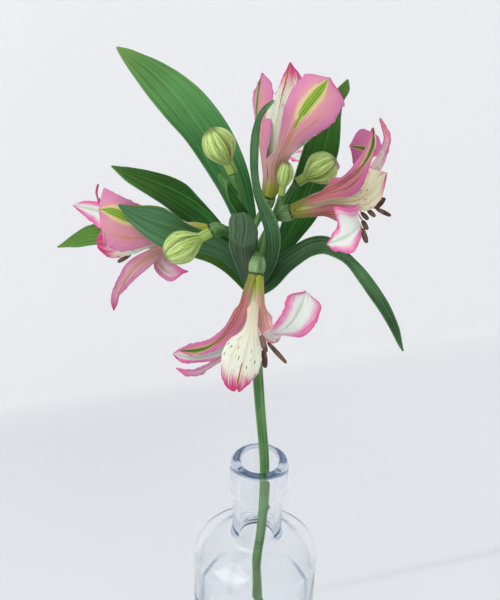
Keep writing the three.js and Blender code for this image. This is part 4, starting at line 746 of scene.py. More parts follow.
# ---------------------------------------------------------------- blooms
# Open flowers of six free tepals on a small cup: three broad outer ones with a green
# stripe and a tiny point, and three narrower inner ones with dark flecks.
TEPAL_THICKNESS, TEPAL_ROWS, TEPAL_COLUMNS = 0.45, 64, 28
FUNNEL_LENGTH, FUNNEL_FLARE, CALM_PASSES = 9, 1.7, 30
OUTER = dict(ring=2.4, cup=0.04, ruffle=0.5, inner=False)
INNER = dict(ring=1.7, cup=0.03, ruffle=0.3, inner=True)
BLOOMS = {
    "front": [
        dict(INNER, phi=0, notch=0.03, blunt=0.035, face=[(0.85, (0, 0.85, -0.52))],
             path=[(-5.6, -50, 245.6), (-6.8, -56, 241.1), (-8.6, -60, 234.4), (-9.9, -62, 228.1),
                   (-10.3, -62, 222)],
             left=(1.6, 1.9, 2.1, 2.1, 3.2, 6.6, 7.6, 7.4, 6.7, 6.1, 5, 3.8),
             right=(1.6, 1.9, 2.1, 2, 3, 5.1, 6.4, 6.7, 5.9, 4.8, 3.4, 1.8)),
        dict(OUTER, phi=60, face=[(0.5, (0.2, 0.71, -0.67)), (0.85, (0, 0.37, -0.93))],
             path=[(-9.4, -43, 247.4), (-10.7, -45, 244.4), (-12.7, -47, 240.9), (-15.1, -48, 237.2),
                   (-18.2, -49, 234.1), (-22.1, -49, 231.3), (-26.5, -48, 229.3), (-31.7, -46, 227.7)],
             left=(2.4, 3, 3, 2.3, 2, 2.6, 3.2, 3.6, 3.7, 3.3, 3.3, 0.25),
             right=(2.4, 3, 3, 3.6, 3.3, 2.8, 2.3, 1.7, 1.4, 1.6, 1.1, 0.25)),
        dict(OUTER, phi=-60, look="fresh",
             face=[(0.45, (0.29, 0.82, -0.5)), (0.6, (-0.29, -0.5, -0.82)), (0.85, (0.15, -0.82, 0.56))],
             path=[(-2.4, -41, 246.9), (-1.7, -45, 243.5), (-0.9, -50, 242.1), (0.9, -55, 242.9),
                   (4.2, -58.5, 246.3), (7.7, -60, 250.9), (10.5, -59, 256.5), (12, -56, 261.1)],
             left=(2.4, 3, 3.2, 3.4, 3.4, 3.6, 4.6, 4.8, 5.3, 5.8, 5.1, 0.25),
             right=(2.4, 3, 3.2, 2.4, 2.6, 3.4, 6.1, 6.8, 7.1, 6.9, 5.7, 0.25)),
        dict(OUTER, phi=180, face=[(0.85, (-0.1, -0.9, -0.35))],
             path=[(-8, -37, 232.1), (-13.7, -40, 227.2), (-20.6, -42, 224), (-27.6, -42, 222.3),
                   (-34.9, -40, 222.2)],
             left=(2.6, 3.4, 4.3, 3.5, 3.7, 4.7, 4.5, 3.2, 2.8, 2.9, 2.8, 0.25),
             right=(2.6, 3.4, 4.3, 4, 4, 4, 3.6, 5.5, 7.1, 6.5, 3.9, 0.25)),
        dict(INNER, phi=120, look="pale", face=[(0.85, (0, -0.75, -0.66))],
             path=[(-10, -43, 231.5), (-14.9, -46, 226.7), (-19.9, -48, 223.7), (-24.2, -49, 221.3),
                   (-28.6, -49, 220.4), (-33, -48, 221.3)],
             left=(1.5, 1.8, 2.1, 2, 2.4, 2.5, 2, 2, 3.3, 3.6, 3.7, 0.25),
             right=(1.5, 1.8, 2.1, 2, 2.6, 2.8, 2.7, 3.1, 3.7, 4.5, 4.5, 0.25)),
        dict(INNER, phi=-120, face=[(0.85, (0.3, -0.93, 0.21))],
             path=[(-4.2, -42, 241.5), (-1.8, -40, 235.2), (1, -37, 229.8), (3.4, -33, 225.7),
                   (5, -28, 223.2)],
             left=(1.5, 1.8, 2.1, 2, 2.9, 2.9, 2.6, 2.7, 3.1, 2.9, 2.3, 0.25),
             right=(1.5, 1.8, 2.1, 2, 2.9, 2.9, 2.6, 2.1, 1.8, 0.9, 1, 0.25)),
    ],
    "right": [
        dict(INNER, phi=0, look="speckled", face=[(0.85, (0.1, 0.85, -0.52))],
             path=[(17.3, -18, 275), (24.3, -20, 277.3), (29.7, -22, 279.3), (33.7, -23, 282.5),
                   (37, -22, 286.1), (40, -20, 289.6)],
             left=(1.5, 1.8, 2.1, 2.3, 2.8, 3.2, 5, 4.7, 3.8, 2.4, 1.2, 0.25),
             right=(1.5, 1.8, 2.1, 2.3, 2.8, 3.5, 3.8, 4.6, 5.4, 6.3, 7, 0.25)),
        dict(OUTER, phi=-60, face=[(0.6, (0.05, 0.9, -0.43)), (0.85, (0.5, 0.78, -0.36))],
             path=[(12.7, -19, 277.6), (16.7, -21.5, 280.9), (22.6, -25.5, 286.6), (27.2, -29, 292.5),
                   (30.2, -30, 296.8), (32.2, -28, 299.4), (33.6, -25, 301.9), (34.1, -21, 303.5),
                   (33.9, -17, 305.2)],
             left=(2.6, 2.9, 3, 3.7, 5.9, 5.1, 2.7, 1.4, 1.2, 0.7, 0.3, 0.25),
             right=(2.6, 2.9, 3, 4.2, 1.9, 2.1, 2.7, 3.2, 2.9, 2.3, 1.3, 0.25)),
        dict(OUTER, phi=-140, face=[(0.85, (0, 0.9, -0.43))],
             path=[(23.1, -8, 275.7), (28.8, -1, 279.5), (33.6, 6, 281.9), (36.4, 10, 283.5),
                   (35.4, 13, 284), (32.4, 14, 284.3), (29.1, 14, 284.8)],
             left=(2.6, 3.4, 4.3, 4, 5.4, 5, 4, 4.5, 6, 8.1, 7.8, 0.25),
             right=(2.6, 3.4, 4.3, 4, 5.4, 5.4, 5.4, 6.6, 7.8, 7.7, 7.1, 0.25)),
        dict(INNER, phi=-170, face=[(0.85, (-0.51, -0.74, 0.45))],
             path=[(24.6, -14, 277), (30.9, -15, 283.4), (35.4, -16, 289.5), (37.4, -17, 294.3),
                   (38.8, -18, 298.7), (39.2, -18, 302.1), (38.1, -17, 305.2), (36.2, -15, 308.2)],
             left=(1.5, 1.8, 2.1, 1.1, 1.3, 1.3, 1.2, 1.3, 1.3, 1, 0.7, 0.25),
             right=(1.5, 1.8, 2.1, 2.3, 3, 2.7, 2.5, 1.7, 1.2, 0.9, 0.5, 0.25)),
        dict(OUTER, phi=60,
             face=[(0.42, (0, 0.9, -0.43)), (0.6, (0.99, -0.03, 0.14)), (0.8, (0, -0.8, 0.6))],
             path=[(17.3, -20, 272.8), (23.5, -24, 275.1), (27.7, -28.5, 277.1), (29.8, -34, 278),
                   (29.8, -38, 277.4), (27.8, -40.5, 276.1), (25.1, -41.5, 274.5), (22.1, -41.5, 273),
                   (19.3, -39, 270.2)],
             left=(2.3, 3.1, 3.2, 3.4, 3.2, 3.2, 1.7, 3.7, 6.1, 3.8, 3, 0.25),
             right=(2.3, 3.1, 3.2, 3.2, 3.6, 5, 7.5, 11.1, 5.4, 3.4, 1.4, 0.25)),
        dict(INNER, phi=120, face=[(0.85, (0.3, -0.5, 0.6))],
             path=[(20.7, -14, 270.3), (26, -9, 265.9), (29.7, -5, 259.7), (29.7, -2, 252.5)],
             both=(1.5, 1.8, 2.1, 1.9, 2.6, 4.2, 5.3, 5.5, 4.6, 3.1, 1.4, 0.25)),
    ],
    "top": [
        dict(OUTER, phi=25, look="fresh", face=[(0.85, (0.1, 0.85, -0.52))],
             path=[(0.4, -15, 286.1), (2.5, -19, 295.4), (5.2, -22, 303.9), (8.8, -23, 312.6),
                   (13, -21, 318.1), (17.6, -17, 322.9)],
             left=(2.8, 3.8, 4.6, 3.3, 4.4, 6.4, 9.3, 10.6, 10.5, 9.8, 8.9, 0.25),
             right=(2.8, 3.8, 4.6, 2.4, 3.5, 4.8, 6.4, 7.8, 8.2, 7.9, 6.9, 0.25)),
        dict(INNER, phi=-30, face=[(0.85, (0, 0.85, -0.52))],
             path=[(-1, -13, 285.1), (-0.7, -15, 294.6), (0, -15, 304.2), (1.3, -13.5, 313),
                   (2.8, -11, 318.7), (4.1, -8, 324.7)],
             left=(1.8, 2.2, 2.8, 2.8, 4.2, 5.5, 5.7, 6, 6.1, 5.8, 3.5, 0.25),
             right=(1.8, 2.2, 2.8, 2.8, 4.2, 4.3, 3.6, 2.4, 1.8, 1.5, 0.7, 0.25)),
        dict(OUTER, phi=-90, look="slender", face=[(0.85, (0.35, 0.8, -0.49))],
             path=[(-3.7, -11, 284.1), (-5.1, -12, 293.2), (-6.1, -12, 300.8), (-6.9, -11, 307.9),
                   (-6.5, -9, 314.6), (-5.4, -6, 319.8)],
             left=(2.8, 4, 5, 4.6, 5.6, 6, 6, 6, 5.6, 4.8, 3.7, 0.25),
             right=(2.8, 4, 5, 4.6, 2.8, 1.8, 1.2, 1.8, 1.8, 0.9, 0.3, 0.25)),
        dict(OUTER, phi=140, look="fresh", face=[(0.85, (-0.6, -0.7, 0.3))],
             path=[(2, -5, 283.6), (5.4, -1, 290), (8.9, 4, 295.5), (11.1, 10, 299.5)],
             both=(2.8, 4, 5, 3.2, 4.4, 5.5, 6.2, 6.5, 6.1, 4.9, 3.1, 0.25)),
        dict(INNER, phi=90, face=[(0.85, (0.11, 0.45, -0.89))],
             path=[(2.6, -8, 285.8), (6.5, -3, 290.9), (11.8, 1, 295.7), (20.6, 3, 297.6)],
             both=(1.5, 1.8, 2.1, 1.2, 1.7, 2.7, 3.4, 3.5, 2.9, 2, 0.9, 0.25)),
        dict(INNER, phi=-160, face=[(0.85, (0, -0.9, 0.4))],
             path=[(-0.9, -4, 282.2), (0.3, 1, 289.7), (1.4, 6, 296.8), (3.8, 11, 302.4)],
             both=(1.5, 1.8, 2.1, 1.9, 2.6, 4.2, 5.3, 5.5, 4.6, 3.1, 1.4, 0.25)),
    ],
    "left": [
        dict(OUTER, phi=25, look="fresh", face=[(0.85, (0, 0.9, -0.43))],
             path=[(-31.5, -17, 259.7), (-39.7, -21, 262.7), (-47, -24, 266.9), (-53.3, -25, 271),
                   (-58, -24.5, 272.8), (-62.5, -23.5, 272.9)],
             left=(2.6, 3.4, 4.4, 4.6, 6.4, 6.7, 6.7, 6.3, 6.2, 6.5, 7.3, 8),
             right=(2.6, 3.4, 4.4, 3.4, 4.8, 8, 12.1, 13.6, 13.1, 13, 12.8, 1.2)),
        dict(INNER, phi=-40, face=[(0.85, (0, 0.9, -0.43))],
             path=[(-31.8, -14, 256.4), (-41.3, -16.5, 256.5), (-51.5, -18.5, 256.3), (-64.5, -19, 256.9)],
             left=(1.5, 1.8, 2.1, 2.8, 3.5, 4.3, 4.9, 5.3, 5.4, 5.5, 5.6, 2.5),
             right=(1.5, 1.8, 2.1, 2.8, 3.6, 2.2, 3.5, 4.7, 5.5, 5.6, 4.2, 2.5)),
        dict(OUTER, phi=170, face=[(0.85, (-0.1, -0.79, 0.6))],
             path=[(-32.5, -9, 258.8), (-44.4, -3, 257.4), (-55.3, 2, 256.9), (-66.7, 6, 257),
                   (-77.6, 8, 258)],
             left=(2.6, 3.4, 4.3, 4.6, 5.4, 6.6, 7.4, 7.1, 5.3, 3.5, 1.9, 0.25),
             right=(2.6, 3.4, 4.3, 3, 3.4, 3.5, 3.5, 3.4, 3.3, 3.1, 2.3, 0.25)),
        dict(INNER, phi=110, face=[(0.85, (-0.9, -0.1, 0.41))],
             path=[(-32.5, -8, 259.2), (-44.7, -4, 260), (-54.3, -3, 261.9), (-61.7, -4, 263.6),
                   (-64.9, -5, 266.3), (-65.9, -6, 270.3), (-65.2, -6, 274.4)],
             both=(1.5, 1.8, 2.1, 0.9, 1.2, 1.9, 2.4, 2.5, 2.1, 0.7, 0.5, 0.25)),
        dict(OUTER, phi=-100, look="rosy", face=[(0.5, (-0.1, 0.79, -0.6)), (0.85, (-0.29, 0.82, -0.5))],
             path=[(-32.5, -14, 256.4), (-38.9, -18, 254.7), (-44.8, -20, 252.3), (-49.5, -22, 249.4),
                   (-53.2, -23, 244.9), (-56.4, -23, 238.8), (-59, -21, 228.6)],
             left=(2.4, 3, 3.4, 2.3, 2.8, 3.2, 2.6, 2.2, 2.1, 1.9, 1.3, 0.25),
             right=(2.4, 3, 3.4, 2.4, 3.4, 3.5, 3, 2.2, 0.8, 0.7, 0.8, 0.25)),
        dict(INNER, phi=-150, look="pale", face=[(0.85, (0.1, -0.79, 0.6))],
             path=[(-32.7, -11, 253.9), (-36.8, -12, 252.1), (-40.5, -13, 250.1), (-41.7, -15, 247.1),
                   (-39.5, -17, 244.8), (-35.9, -19, 244.8), (-30.6, -20, 246.3)],
             left=(1.5, 1.8, 2.1, 1.6, 2.6, 4, 4.9, 4.7, 4, 2.6, 1.1, 0.25),
             right=(1.5, 1.8, 2.1, 2.8, 2.9, 2, 2.8, 3, 3.5, 1.9, 0.6, 0.25)),
    ],
    "back": [
        dict(OUTER, phi=-90, face=[(0.85, (0.31, -0.69, 0.66))],
             path=[(16, 32, 265), (14.1, 40, 265.8), (11.3, 46, 265.5), (7.3, 49, 264.2)],
             both=(2.6, 3.4, 4.3, 2.2, 3.1, 3.8, 4.3, 4.5, 4.2, 3.4, 2.2, 0.25)),
        dict(OUTER, phi=35, face=[(0.85, (-0.5, 0.2, -0.8))],
             path=[(20.6, 32, 263.4), (24.2, 42, 263.9), (27.2, 50, 263.2)],
             both=(2.6, 3.4, 4.3, 2, 2.7, 3.4, 3.8, 4, 3.8, 3, 1.9, 0.25)),
        dict(OUTER, phi=145, face=[(0.85, (-0.6, 0.2, 0.7))],
             path=[(19.5, 33, 254.8), (23.1, 43, 251), (25.3, 51, 248.2)],
             both=(2.6, 3.4, 4.3, 3, 4.1, 5, 5.8, 6, 5.6, 4.6, 2.9, 0.25)),
        dict(INNER, phi=-30, face=[(0.85, (0.2, 0.2, -0.9))],
             path=[(16.2, 33, 262.8), (16.8, 43, 264.1), (17.8, 51, 264.7)],
             both=(1.5, 1.8, 2.1, 1.5, 2.2, 3.4, 4.3, 4.5, 3.8, 2.5, 1.2, 0.25)),
        dict(INNER, phi=-150, face=[(0.85, (0.2, 0.2, 0.9))],
             path=[(15.7, 33, 256), (15.8, 43, 252.6), (16.5, 51, 250.7)],
             both=(1.5, 1.8, 2.1, 1.5, 2.2, 3.4, 4.3, 4.5, 3.8, 2.5, 1.2, 0.25)),
        dict(INNER, phi=90, face=[(0.85, (-0.9, 0.2, 0))],
             path=[(20.1, 33, 259.4), (23.9, 43, 258), (26.8, 51, 257.2)],
             both=(1.5, 1.8, 2.1, 1.5, 2.2, 3.4, 4.3, 4.5, 3.8, 2.5, 1.2, 0.25)),
    ],
}


def tepal_ribbon(bloom, tepal):
    """A tepal's middle line: from its foot on the cup, up the funnel and out."""
    base, w, front, side = seat_frame(bloom)
    phi = radians(tepal["phi"])
    radial = front * cos(phi) + side * sin(phi)
    foot = base + radial * tepal["ring"]
    mouth = foot + radial * FUNNEL_FLARE + w * FUNNEL_LENGTH
    return Ribbon([foot, mouth, *tepal["path"]], -radial, tepal["face"], CALM_PASSES)


def tepal_sheet(bm, bloom, tepal, phase, material):
    ribbon = tepal_ribbon(bloom, tepal)

    def half_at(s, x):
        spot = Vector((s * 30, phase * 5, 2.5 * (x > 0)))
        ragged = (0.05 * noise.noise(spot) + 0.045 * noise.noise(spot * 2.3)) * smooth(0.5, 0.7, s)
        widths = tepal.get("both") or tepal["left" if x < 0 else "right"]
        return half_width(widths, s) * (1 + ragged)

    def place(s, x):
        # the end is rounded off, and notched where the blade has two lobes
        short = tepal.get("blunt", 0.015) * abs(x) ** 3 + tepal.get("notch", 0) * exp(-(x / 0.14) ** 2)
        point, side, normal = ribbon.at(max(s - short * smooth(0.75, 1, s), 0))
        half = half_at(s, x)
        bent = lerp(1 / (tepal["ring"] + 9 * s), tepal["cup"], smooth(0.25, 0.7, s))
        angle = x * half * bent
        blade = smooth(0.5, 0.8, s)
        wave = tepal["ruffle"] * x * x * sin(14 * s + phase + 2 * x)
        crinkle = tepal["ruffle"] * noise.noise(Vector((s * 26, x * 2, phase * 3))) * x ** 4 * 1.8
        groove = -0.25 * (1 - smooth(0, 0.12, abs(x)))
        quilt = 0.04 * cos(13 * pi * x) * (1 - 0.5 * blade)
        rise = (1 - cos(angle)) / bent + blade * (wave + crinkle + groove) + smooth(0.2, 0.4, s) * quilt
        return point + side * (sin(angle) / bent) + normal * rise
    sheet(bm, TEPAL_ROWS, TEPAL_COLUMNS, place, material=material, tip_bias=1.25,
          span=lambda s, x: (s * ribbon.length, x * half_at(s, x)))


def flush_group():
    """A tepal's colours from its own maps: base, claw, blade, margin, tip and stripe."""
    pad, entry, out = new_group("tepal_flush", {
        **dict.fromkeys(("Base", "Claw", "Blade", "Margin", "Tip", "Line", "Stripe", "Stripe Border")),
        "Base Reach": 0.2, "Margin Reach": 2.5, "Margin Start": 0.5, "Margin Share": 1.0,
        "Tip Start": 0.82, "Line Share": 0.4, "Line Reach": 0.9, "Twin Share": 0.0,
        "Stripe Share": 1.0, "Stripe Start": 0.6, "Stripe Width": 1.2, "Fleck Share": 0.0},
        {"Colour": "NodeSocketColor", "Height": "NodeSocketFloat"})
    vein = pad.use(veins, Ribs=5.0, Fine=22.0, Fan=0.5, Thin=6.0)
    s, side = vein["Along"], vein["Side"]
    span = pad.map("span")
    offset = pad.split(span)["Y"]
    fanned = pad.node("CombineXYZ")
    pad.plug(fanned.inputs[0], s)
    pad.plug(fanned.inputs[1], vein["Across"])
    fanned = fanned.outputs[0]

    def from_start(value, key, length):
        return pad.smooth(value, entry[key], pad.math("ADD", entry[key], length))

    # pigment runs along the veins, so every change of colour is drawn out lengthwise
    streak = pad.math("SUBTRACT", pad.noise(pad.stretch(fanned, 2.2, 15), 1, 4), 0.5)
    drift = pad.math("SUBTRACT", pad.noise(pad.stretch(span, 0.3, 0.5), 1, 3), 0.5)
    loose = pad.scaled(streak, 0.4, pad.scaled(drift, 0.12, s))
    claw = pad.smooth(loose, pad.times(entry["Base Reach"], 0.25), entry["Base Reach"])
    blush = pad.times(pad.smooth(streak, 0.02, 0.16), pad.fade(s, 0.4, 0.6), 0.3)
    near = pad.fade(side, 0.4, entry["Line Reach"])
    fades = pad.fade(s, 0.72, 0.94)
    ribs = pad.times(vein["Rib"], entry["Line Share"], pad.scaled(near, 0.75, 0.25), fades)
    fine = pad.times(pad.smooth(streak, -0.02, -0.16), entry["Line Share"], 0.5, near, fades)

    # two lines run beside the midrib
    off = pad.math("ABSOLUTE", pad.scaled(drift, 0.5, offset))
    twin = pad.fade(pad.math("ABSOLUTE", pad.math("SUBTRACT", off, 0.5)), 0.05, 0.32)
    twin = pad.times(twin, entry["Twin Share"], pad.smooth(s, 0.08, 0.25), fades)

    # the margin is measured in millimetres from the edge
    plain = pad.math("ABSOLUTE", offset)
    half = pad.math("DIVIDE", plain, pad.math("MAXIMUM", side, 0.05))
    ragged = pad.scaled(streak, 4.0, pad.scaled(drift, 2.6, pad.math("SUBTRACT", half, plain)))
    edge = pad.times(pad.fade(ragged, 0.1, entry["Margin Reach"]), pad.smooth(side, 0.25, 0.6),
                     entry["Margin Share"], from_start(s, "Margin Start", 0.22))

    # flecks: short dashes along the veins, more of them towards the margins
    cells = pad.node("TexVoronoi", feature="F1")
    pad.plug(cells.inputs["Vector"], pad.stretch(fanned, 15, 11))
    cells.inputs["Scale"].default_value = 1.0
    cells.inputs["Randomness"].default_value = 0.9
    pick = pad.node("SeparateColor")
    pad.plug(pick.inputs[0], cells.outputs["Color"])
    chosen = pad.math("GREATER_THAN", pick.outputs[0], pad.scaled(side, -0.62, 0.88))
    fleck = pad.times(pad.fade(cells.outputs["Distance"], 0.16, 0.33), chosen,
                      pad.smooth(s, 0.46, 0.62), pad.fade(s, 0.92, 0.98), entry["Fleck Share"])
    fleck_tone = pad.mix(pad.smooth(side, 0.3, 0.75), (0.30, 0.17, 0.08, 1), (0.17, 0.06, 0.14, 1))

    # the stripe up the middle: widest halfway, with darker lines and a pale border
    swell = pad.times(from_start(loose, "Stripe Start", 0.22), pad.fade(s, 0.86, 1.02))
    reach = pad.scaled(swell, entry["Stripe Width"], 0.03)
    on = pad.times(entry["Stripe Share"], pad.smooth(swell, 0.0, 0.3))
    border = pad.times(on, pad.fade(off, pad.times(reach, 0.85), pad.times(reach, 1.9)))
    core = pad.times(on, pad.fade(off, pad.times(reach, 0.5), pad.times(reach, 1.1)))
    wave = pad.math("COSINE", pad.times(pad.scaled(drift, 0.6, offset), 7.5))
    dark = pad.times(pad.math("POWER", pad.scaled(wave, 0.5, 0.5), 5.0), core, 0.8)

    pad.plug(out["Colour"], pad.layers(
        pad.mix(claw, entry["Base"], entry["Claw"]),
        (pad.smooth(loose, 0.32, 0.66), entry["Blade"]), (blush, entry["Margin"]),
        (ribs, entry["Line"]), (fine, entry["Line"]), (twin, entry["Line"]),
        (edge, entry["Margin"]), (from_start(loose, "Tip Start", 0.17), entry["Tip"]),
        (fleck, fleck_tone), (border, entry["Stripe Border"]), (core, entry["Stripe"]),
        (dark, (0.03, 0.075, 0.008, 1))))
    relief = pad.scaled(vein["Line"], 0.4, pad.times(vein["Rib"], 0.6))
    pad.plug(out["Height"], pad.times(relief, pad.scaled(pad.smooth(s, 0.4, 0.7), -0.6, 1.0)))
    return pad.tree


flush = flush_group()
LIME, OLIVE, CREAM = (0.33, 0.45, 0.03, 1), (0.21, 0.27, 0.035, 1), (0.74, 0.68, 0.53, 1)
DUSTY, ROSE, MAUVE = (0.45, 0.15, 0.155, 1), (0.50, 0.165, 0.22, 1), (0.50, 0.125, 0.29, 1)
PALE_PINK, MAGENTA, WHITE = (0.64, 0.275, 0.33, 1), (0.58, 0.045, 0.19, 1), (0.70, 0.73, 0.69, 1)
HOT_PINK, PINK = (0.70, 0.12, 0.34, 1), (0.58, 0.19, 0.36, 1)
RUST, AMBER = (0.20, 0.045, 0.02, 1), (0.50, 0.20, 0.075, 1)
LEAF_GREEN, BRIGHT_GREEN, STRAW = (0.09, 0.16, 0.025, 1), (0.24, 0.39, 0.035, 1), (0.68, 0.58, 0.25, 1)
TEPAL_SKINS = {
    "outer_tepal_outside": dict(
        Base=OLIVE, Claw=DUSTY, Blade=ROSE, Margin=MAUVE, Tip=MAUVE, Line=RUST, Base_Reach=0.28,
        Line_Share=0.95, Line_Reach=1.0, Twin_Share=0.9, Margin_Reach=3.4, Margin_Start=0.36,
        Margin_Share=0.9, Tip_Start=0.80, Stripe=LEAF_GREEN, Stripe_Border=(0.46, 0.32, 0.11, 1),
        Stripe_Width=0.95, Stripe_Start=0.62),
    "slender_outer_outside": dict(
        Base=OLIVE, Claw=(0.60, 0.34, 0.30, 1), Blade=(0.60, 0.24, 0.30, 1), Margin=PINK, Tip=PINK,
        Line=AMBER, Base_Reach=0.2, Line_Share=0.7, Twin_Share=0.6, Margin_Reach=4.0, Margin_Start=0.3,
        Stripe=(0.20, 0.24, 0.09, 1), Stripe_Border=(0.46, 0.34, 0.22, 1), Stripe_Width=0.5,
        Stripe_Start=0.5),
    "outer_tepal_inside": dict(
        Base=LIME, Claw=(0.66, 0.46, 0.48, 1), Blade=WHITE, Margin=HOT_PINK, Tip=PINK,
        Line=(0.55, 0.60, 0.42, 1), Line_Share=0.3, Stripe=(0.48, 0.58, 0.40, 1),
        Stripe_Border=(0.64, 0.70, 0.62, 1), Stripe_Width=0.9, Stripe_Start=0.66, Stripe_Share=0.45,
        Margin_Reach=4.6, Margin_Start=0.5, Tip_Start=0.93),
    "fresh_outer_outside": dict(
        Base=LIME, Claw=(0.70, 0.40, 0.38, 1), Blade=PALE_PINK, Margin=PINK, Tip=PINK, Line=AMBER,
        Base_Reach=0.26, Line_Share=0.75, Line_Reach=0.8, Twin_Share=0.9, Margin_Reach=6.0,
        Margin_Start=0.45, Tip_Start=0.9, Stripe=BRIGHT_GREEN, Stripe_Border=STRAW,
        Stripe_Width=1.9, Stripe_Start=0.6),
    "plain_outer_outside": dict(
        Base=LIME, Claw=(0.62, 0.32, 0.34, 1), Blade=(0.66, 0.36, 0.42, 1), Margin=PINK,
        Tip=(0.55, 0.10, 0.25, 1), Line=AMBER, Line_Share=0.7, Line_Reach=0.6, Twin_Share=0.8,
        Margin_Reach=3.0, Margin_Start=0.4, Tip_Start=0.82, Stripe_Share=0.0),
    "inner_tepal_outside": dict(
        Base=LIME, Claw=CREAM, Blade=(0.72, 0.74, 0.62, 1), Margin=(0.60, 0.17, 0.32, 1), Tip=MAGENTA,
        Line=(0.56, 0.50, 0.17, 1), Base_Reach=0.3, Line_Share=0.5, Line_Reach=1.0,
        Margin_Reach=2.0, Margin_Start=0.72, Margin_Share=0.85, Stripe=(0.55, 0.13, 0.05, 1),
        Stripe_Border=(0.66, 0.30, 0.20, 1), Stripe_Width=0.36, Stripe_Start=0.72, Stripe_Share=0.9,
        Tip_Start=0.80, Fleck_Share=0.85),
    "speckled_inner_outside": dict(
        Base=LIME, Claw=(0.80, 0.74, 0.45, 1), Blade=(0.76, 0.72, 0.50, 1), Margin=(0.62, 0.11, 0.24, 1),
        Tip=MAGENTA, Line=(0.50, 0.36, 0.10, 1), Base_Reach=0.32, Line_Share=0.7, Line_Reach=1.0,
        Margin_Reach=2.6, Margin_Start=0.76, Stripe_Share=0.0, Tip_Start=0.93, Fleck_Share=1.0),
    "inner_tepal_inside": dict(
        Base=LIME, Claw=CREAM, Blade=(0.72, 0.62, 0.60, 1), Margin=HOT_PINK, Tip=MAGENTA,
        Line=(0.50, 0.42, 0.14, 1), Line_Share=0.5, Stripe=(0.50, 0.13, 0.05, 1),
        Stripe_Border=(0.62, 0.34, 0.2, 1), Stripe_Width=0.35, Stripe_Start=0.74, Stripe_Share=0.8,
        Margin_Reach=1.5, Margin_Start=0.6, Tip_Start=0.88, Fleck_Share=0.9),
    "pale_inner_outside": dict(
        Base=LIME, Claw=CREAM, Blade=(0.66, 0.52, 0.55, 1), Margin=PINK, Tip=HOT_PINK, Line=AMBER,
        Line_Share=0.4, Twin_Share=0.5, Stripe_Share=0.0, Margin_Reach=4.0, Margin_Start=0.42,
        Tip_Start=0.8),
}
skins = {}
for name, looks in TEPAL_SKINS.items():
    pad = plant_skin(name, 0.5, Specular_IOR_Level=0.3)
    painted = pad.use(flush, **looks)
    pad.coat(painted["Colour"], painted["Height"], 0.45, 0.0002)
    skins[name] = pad.material
cup = plant_skin("cup_green", 0.45)
grain = cup.mix(cup.smooth(cup.noise(cup.spot(), 420, 3), 0.38, 0.62), (0.11, 0.16, 0.02, 1), LIME)
upward = cup.smooth(cup.split(cup.map("blade"))["X"], 0.05, 0.5)
cup.coat(cup.mix(upward, (0.05, 0.08, 0.015, 1), grain))
skins["cup_green"] = cup.material
# each look: the material outside and the one inside
LOOKS = {
    "outer": ("outer_tepal_outside", "outer_tepal_inside"),
    "inner": ("inner_tepal_outside", "inner_tepal_inside"),
    "fresh": ("fresh_outer_outside", "outer_tepal_inside"),
    "rosy": ("plain_outer_outside", "plain_outer_outside"),
    "pale": ("pale_inner_outside", "pale_inner_outside"),
    "slender": ("slender_outer_outside", "outer_tepal_inside"),
    "speckled": ("speckled_inner_outside", "inner_tepal_inside"),
    "cup": ("cup_green", "cup_green"),
}
slots = {look: 2 * k for k, look in enumerate(LOOKS)}

for bloom, tepals in BLOOMS.items():
    bm = bmesh.new()
    for k, tepal in enumerate(tepals):
        look = tepal.get("look", "inner" if tepal["inner"] else "outer")
        tepal_sheet(bm, bloom, tepal, k, slots[look])
    base, w, front, side = seat_frame(bloom)

    def cup_centre(u):
        return base + w * (2.2 * u), front, side

    def cup_radius(u, angle):
        return lerp(2.62, 2.3, u) * (1 + 0.05 * cos(6 * angle))
    tube(bm, 4, 36, cup_centre, cup_radius, slots["cup"])
    piece = set_down(f"bloom_{bloom}", bm, f"bloom_{bloom}", "tepal",
                     *[skins[name] for pair in LOOKS.values() for name in pair])
    thicken(piece, TEPAL_THICKNESS, 1)


# ---------------------------------------------------------------- stamens
# Six pinkish filaments rise from the cup of each bloom and end in brown anthers, each
# of two long lobes.
ANTHER_LENGTH, ANTHER_RADIUS = 6, 1.2
FILAMENT_RADIUS, FILAMENT_RING, DISC_RADIUS = 0.34, 0.85, 1.19


def bunch(centre, along, radius, count):
    """Anthers in a ring about a point: foot and tip of each."""
    way = Vector(along).normalized()
    side, normal = across(way, Vector((0.5, 0.6, 0.62)))
    pairs = []
    for k in range(count):
        angle = 2 * pi * k / count
        foot = (Vector(centre) + side * radius * cos(angle) + normal * radius * sin(angle)
                - way * 2 * (k % 3))
        pairs.append((foot, foot + way * ANTHER_LENGTH))
    return pairs


STAMENS = {
    "front": ((-5, -43, 242), [((-2.4, -58.5, 243.7), (-0.5, -60.5, 238.1)),
                               ((-1.4, -56.5, 236.1), (-0.6, -57.5, 229.5)),
                               ((0.3, -52, 236.4), (7.1, -54, 229.4)),
                               ((-6.5, -50, 234), (-6.5, -53, 229.5)),
                               ((-8, -47, 232.5), (-9, -50, 228.5)),
                               ((-4.5, -46, 228.5), (-4, -49, 223.5))]),
    "right": ((25, -17, 279), [((37.4, -20, 275.6), (40.1, -21, 280.4)),
                               ((37.8, -20, 275.2), (43, -22, 273.6)),
                               ((34.5, -21, 275.2), (37.3, -22, 273)),
                               ((32.3, -21, 274), (34.9, -22, 271.7)),
                               ((32.8, -22, 271.2), (34.8, -23, 268.1)),
                               ((33, -22, 267.9), (35, -23, 262.6))]),
    "top": ((0, -9.5, 286), bunch((3.5, -9, 300), (0.15, 0.1, 1), 2.2, 6)),
    "left": ((-36, -13, 259), [((-52.7, -16, 250.4), (-57.4, -17, 247.3)),
                               *bunch((-49, -12, 259), (-1, 0, -0.1), 2.2, 5)]),
    "back": ((16, 33, 259), bunch((18, 41, 259.8), (0.2, 1, 0), 2, 6)),
}


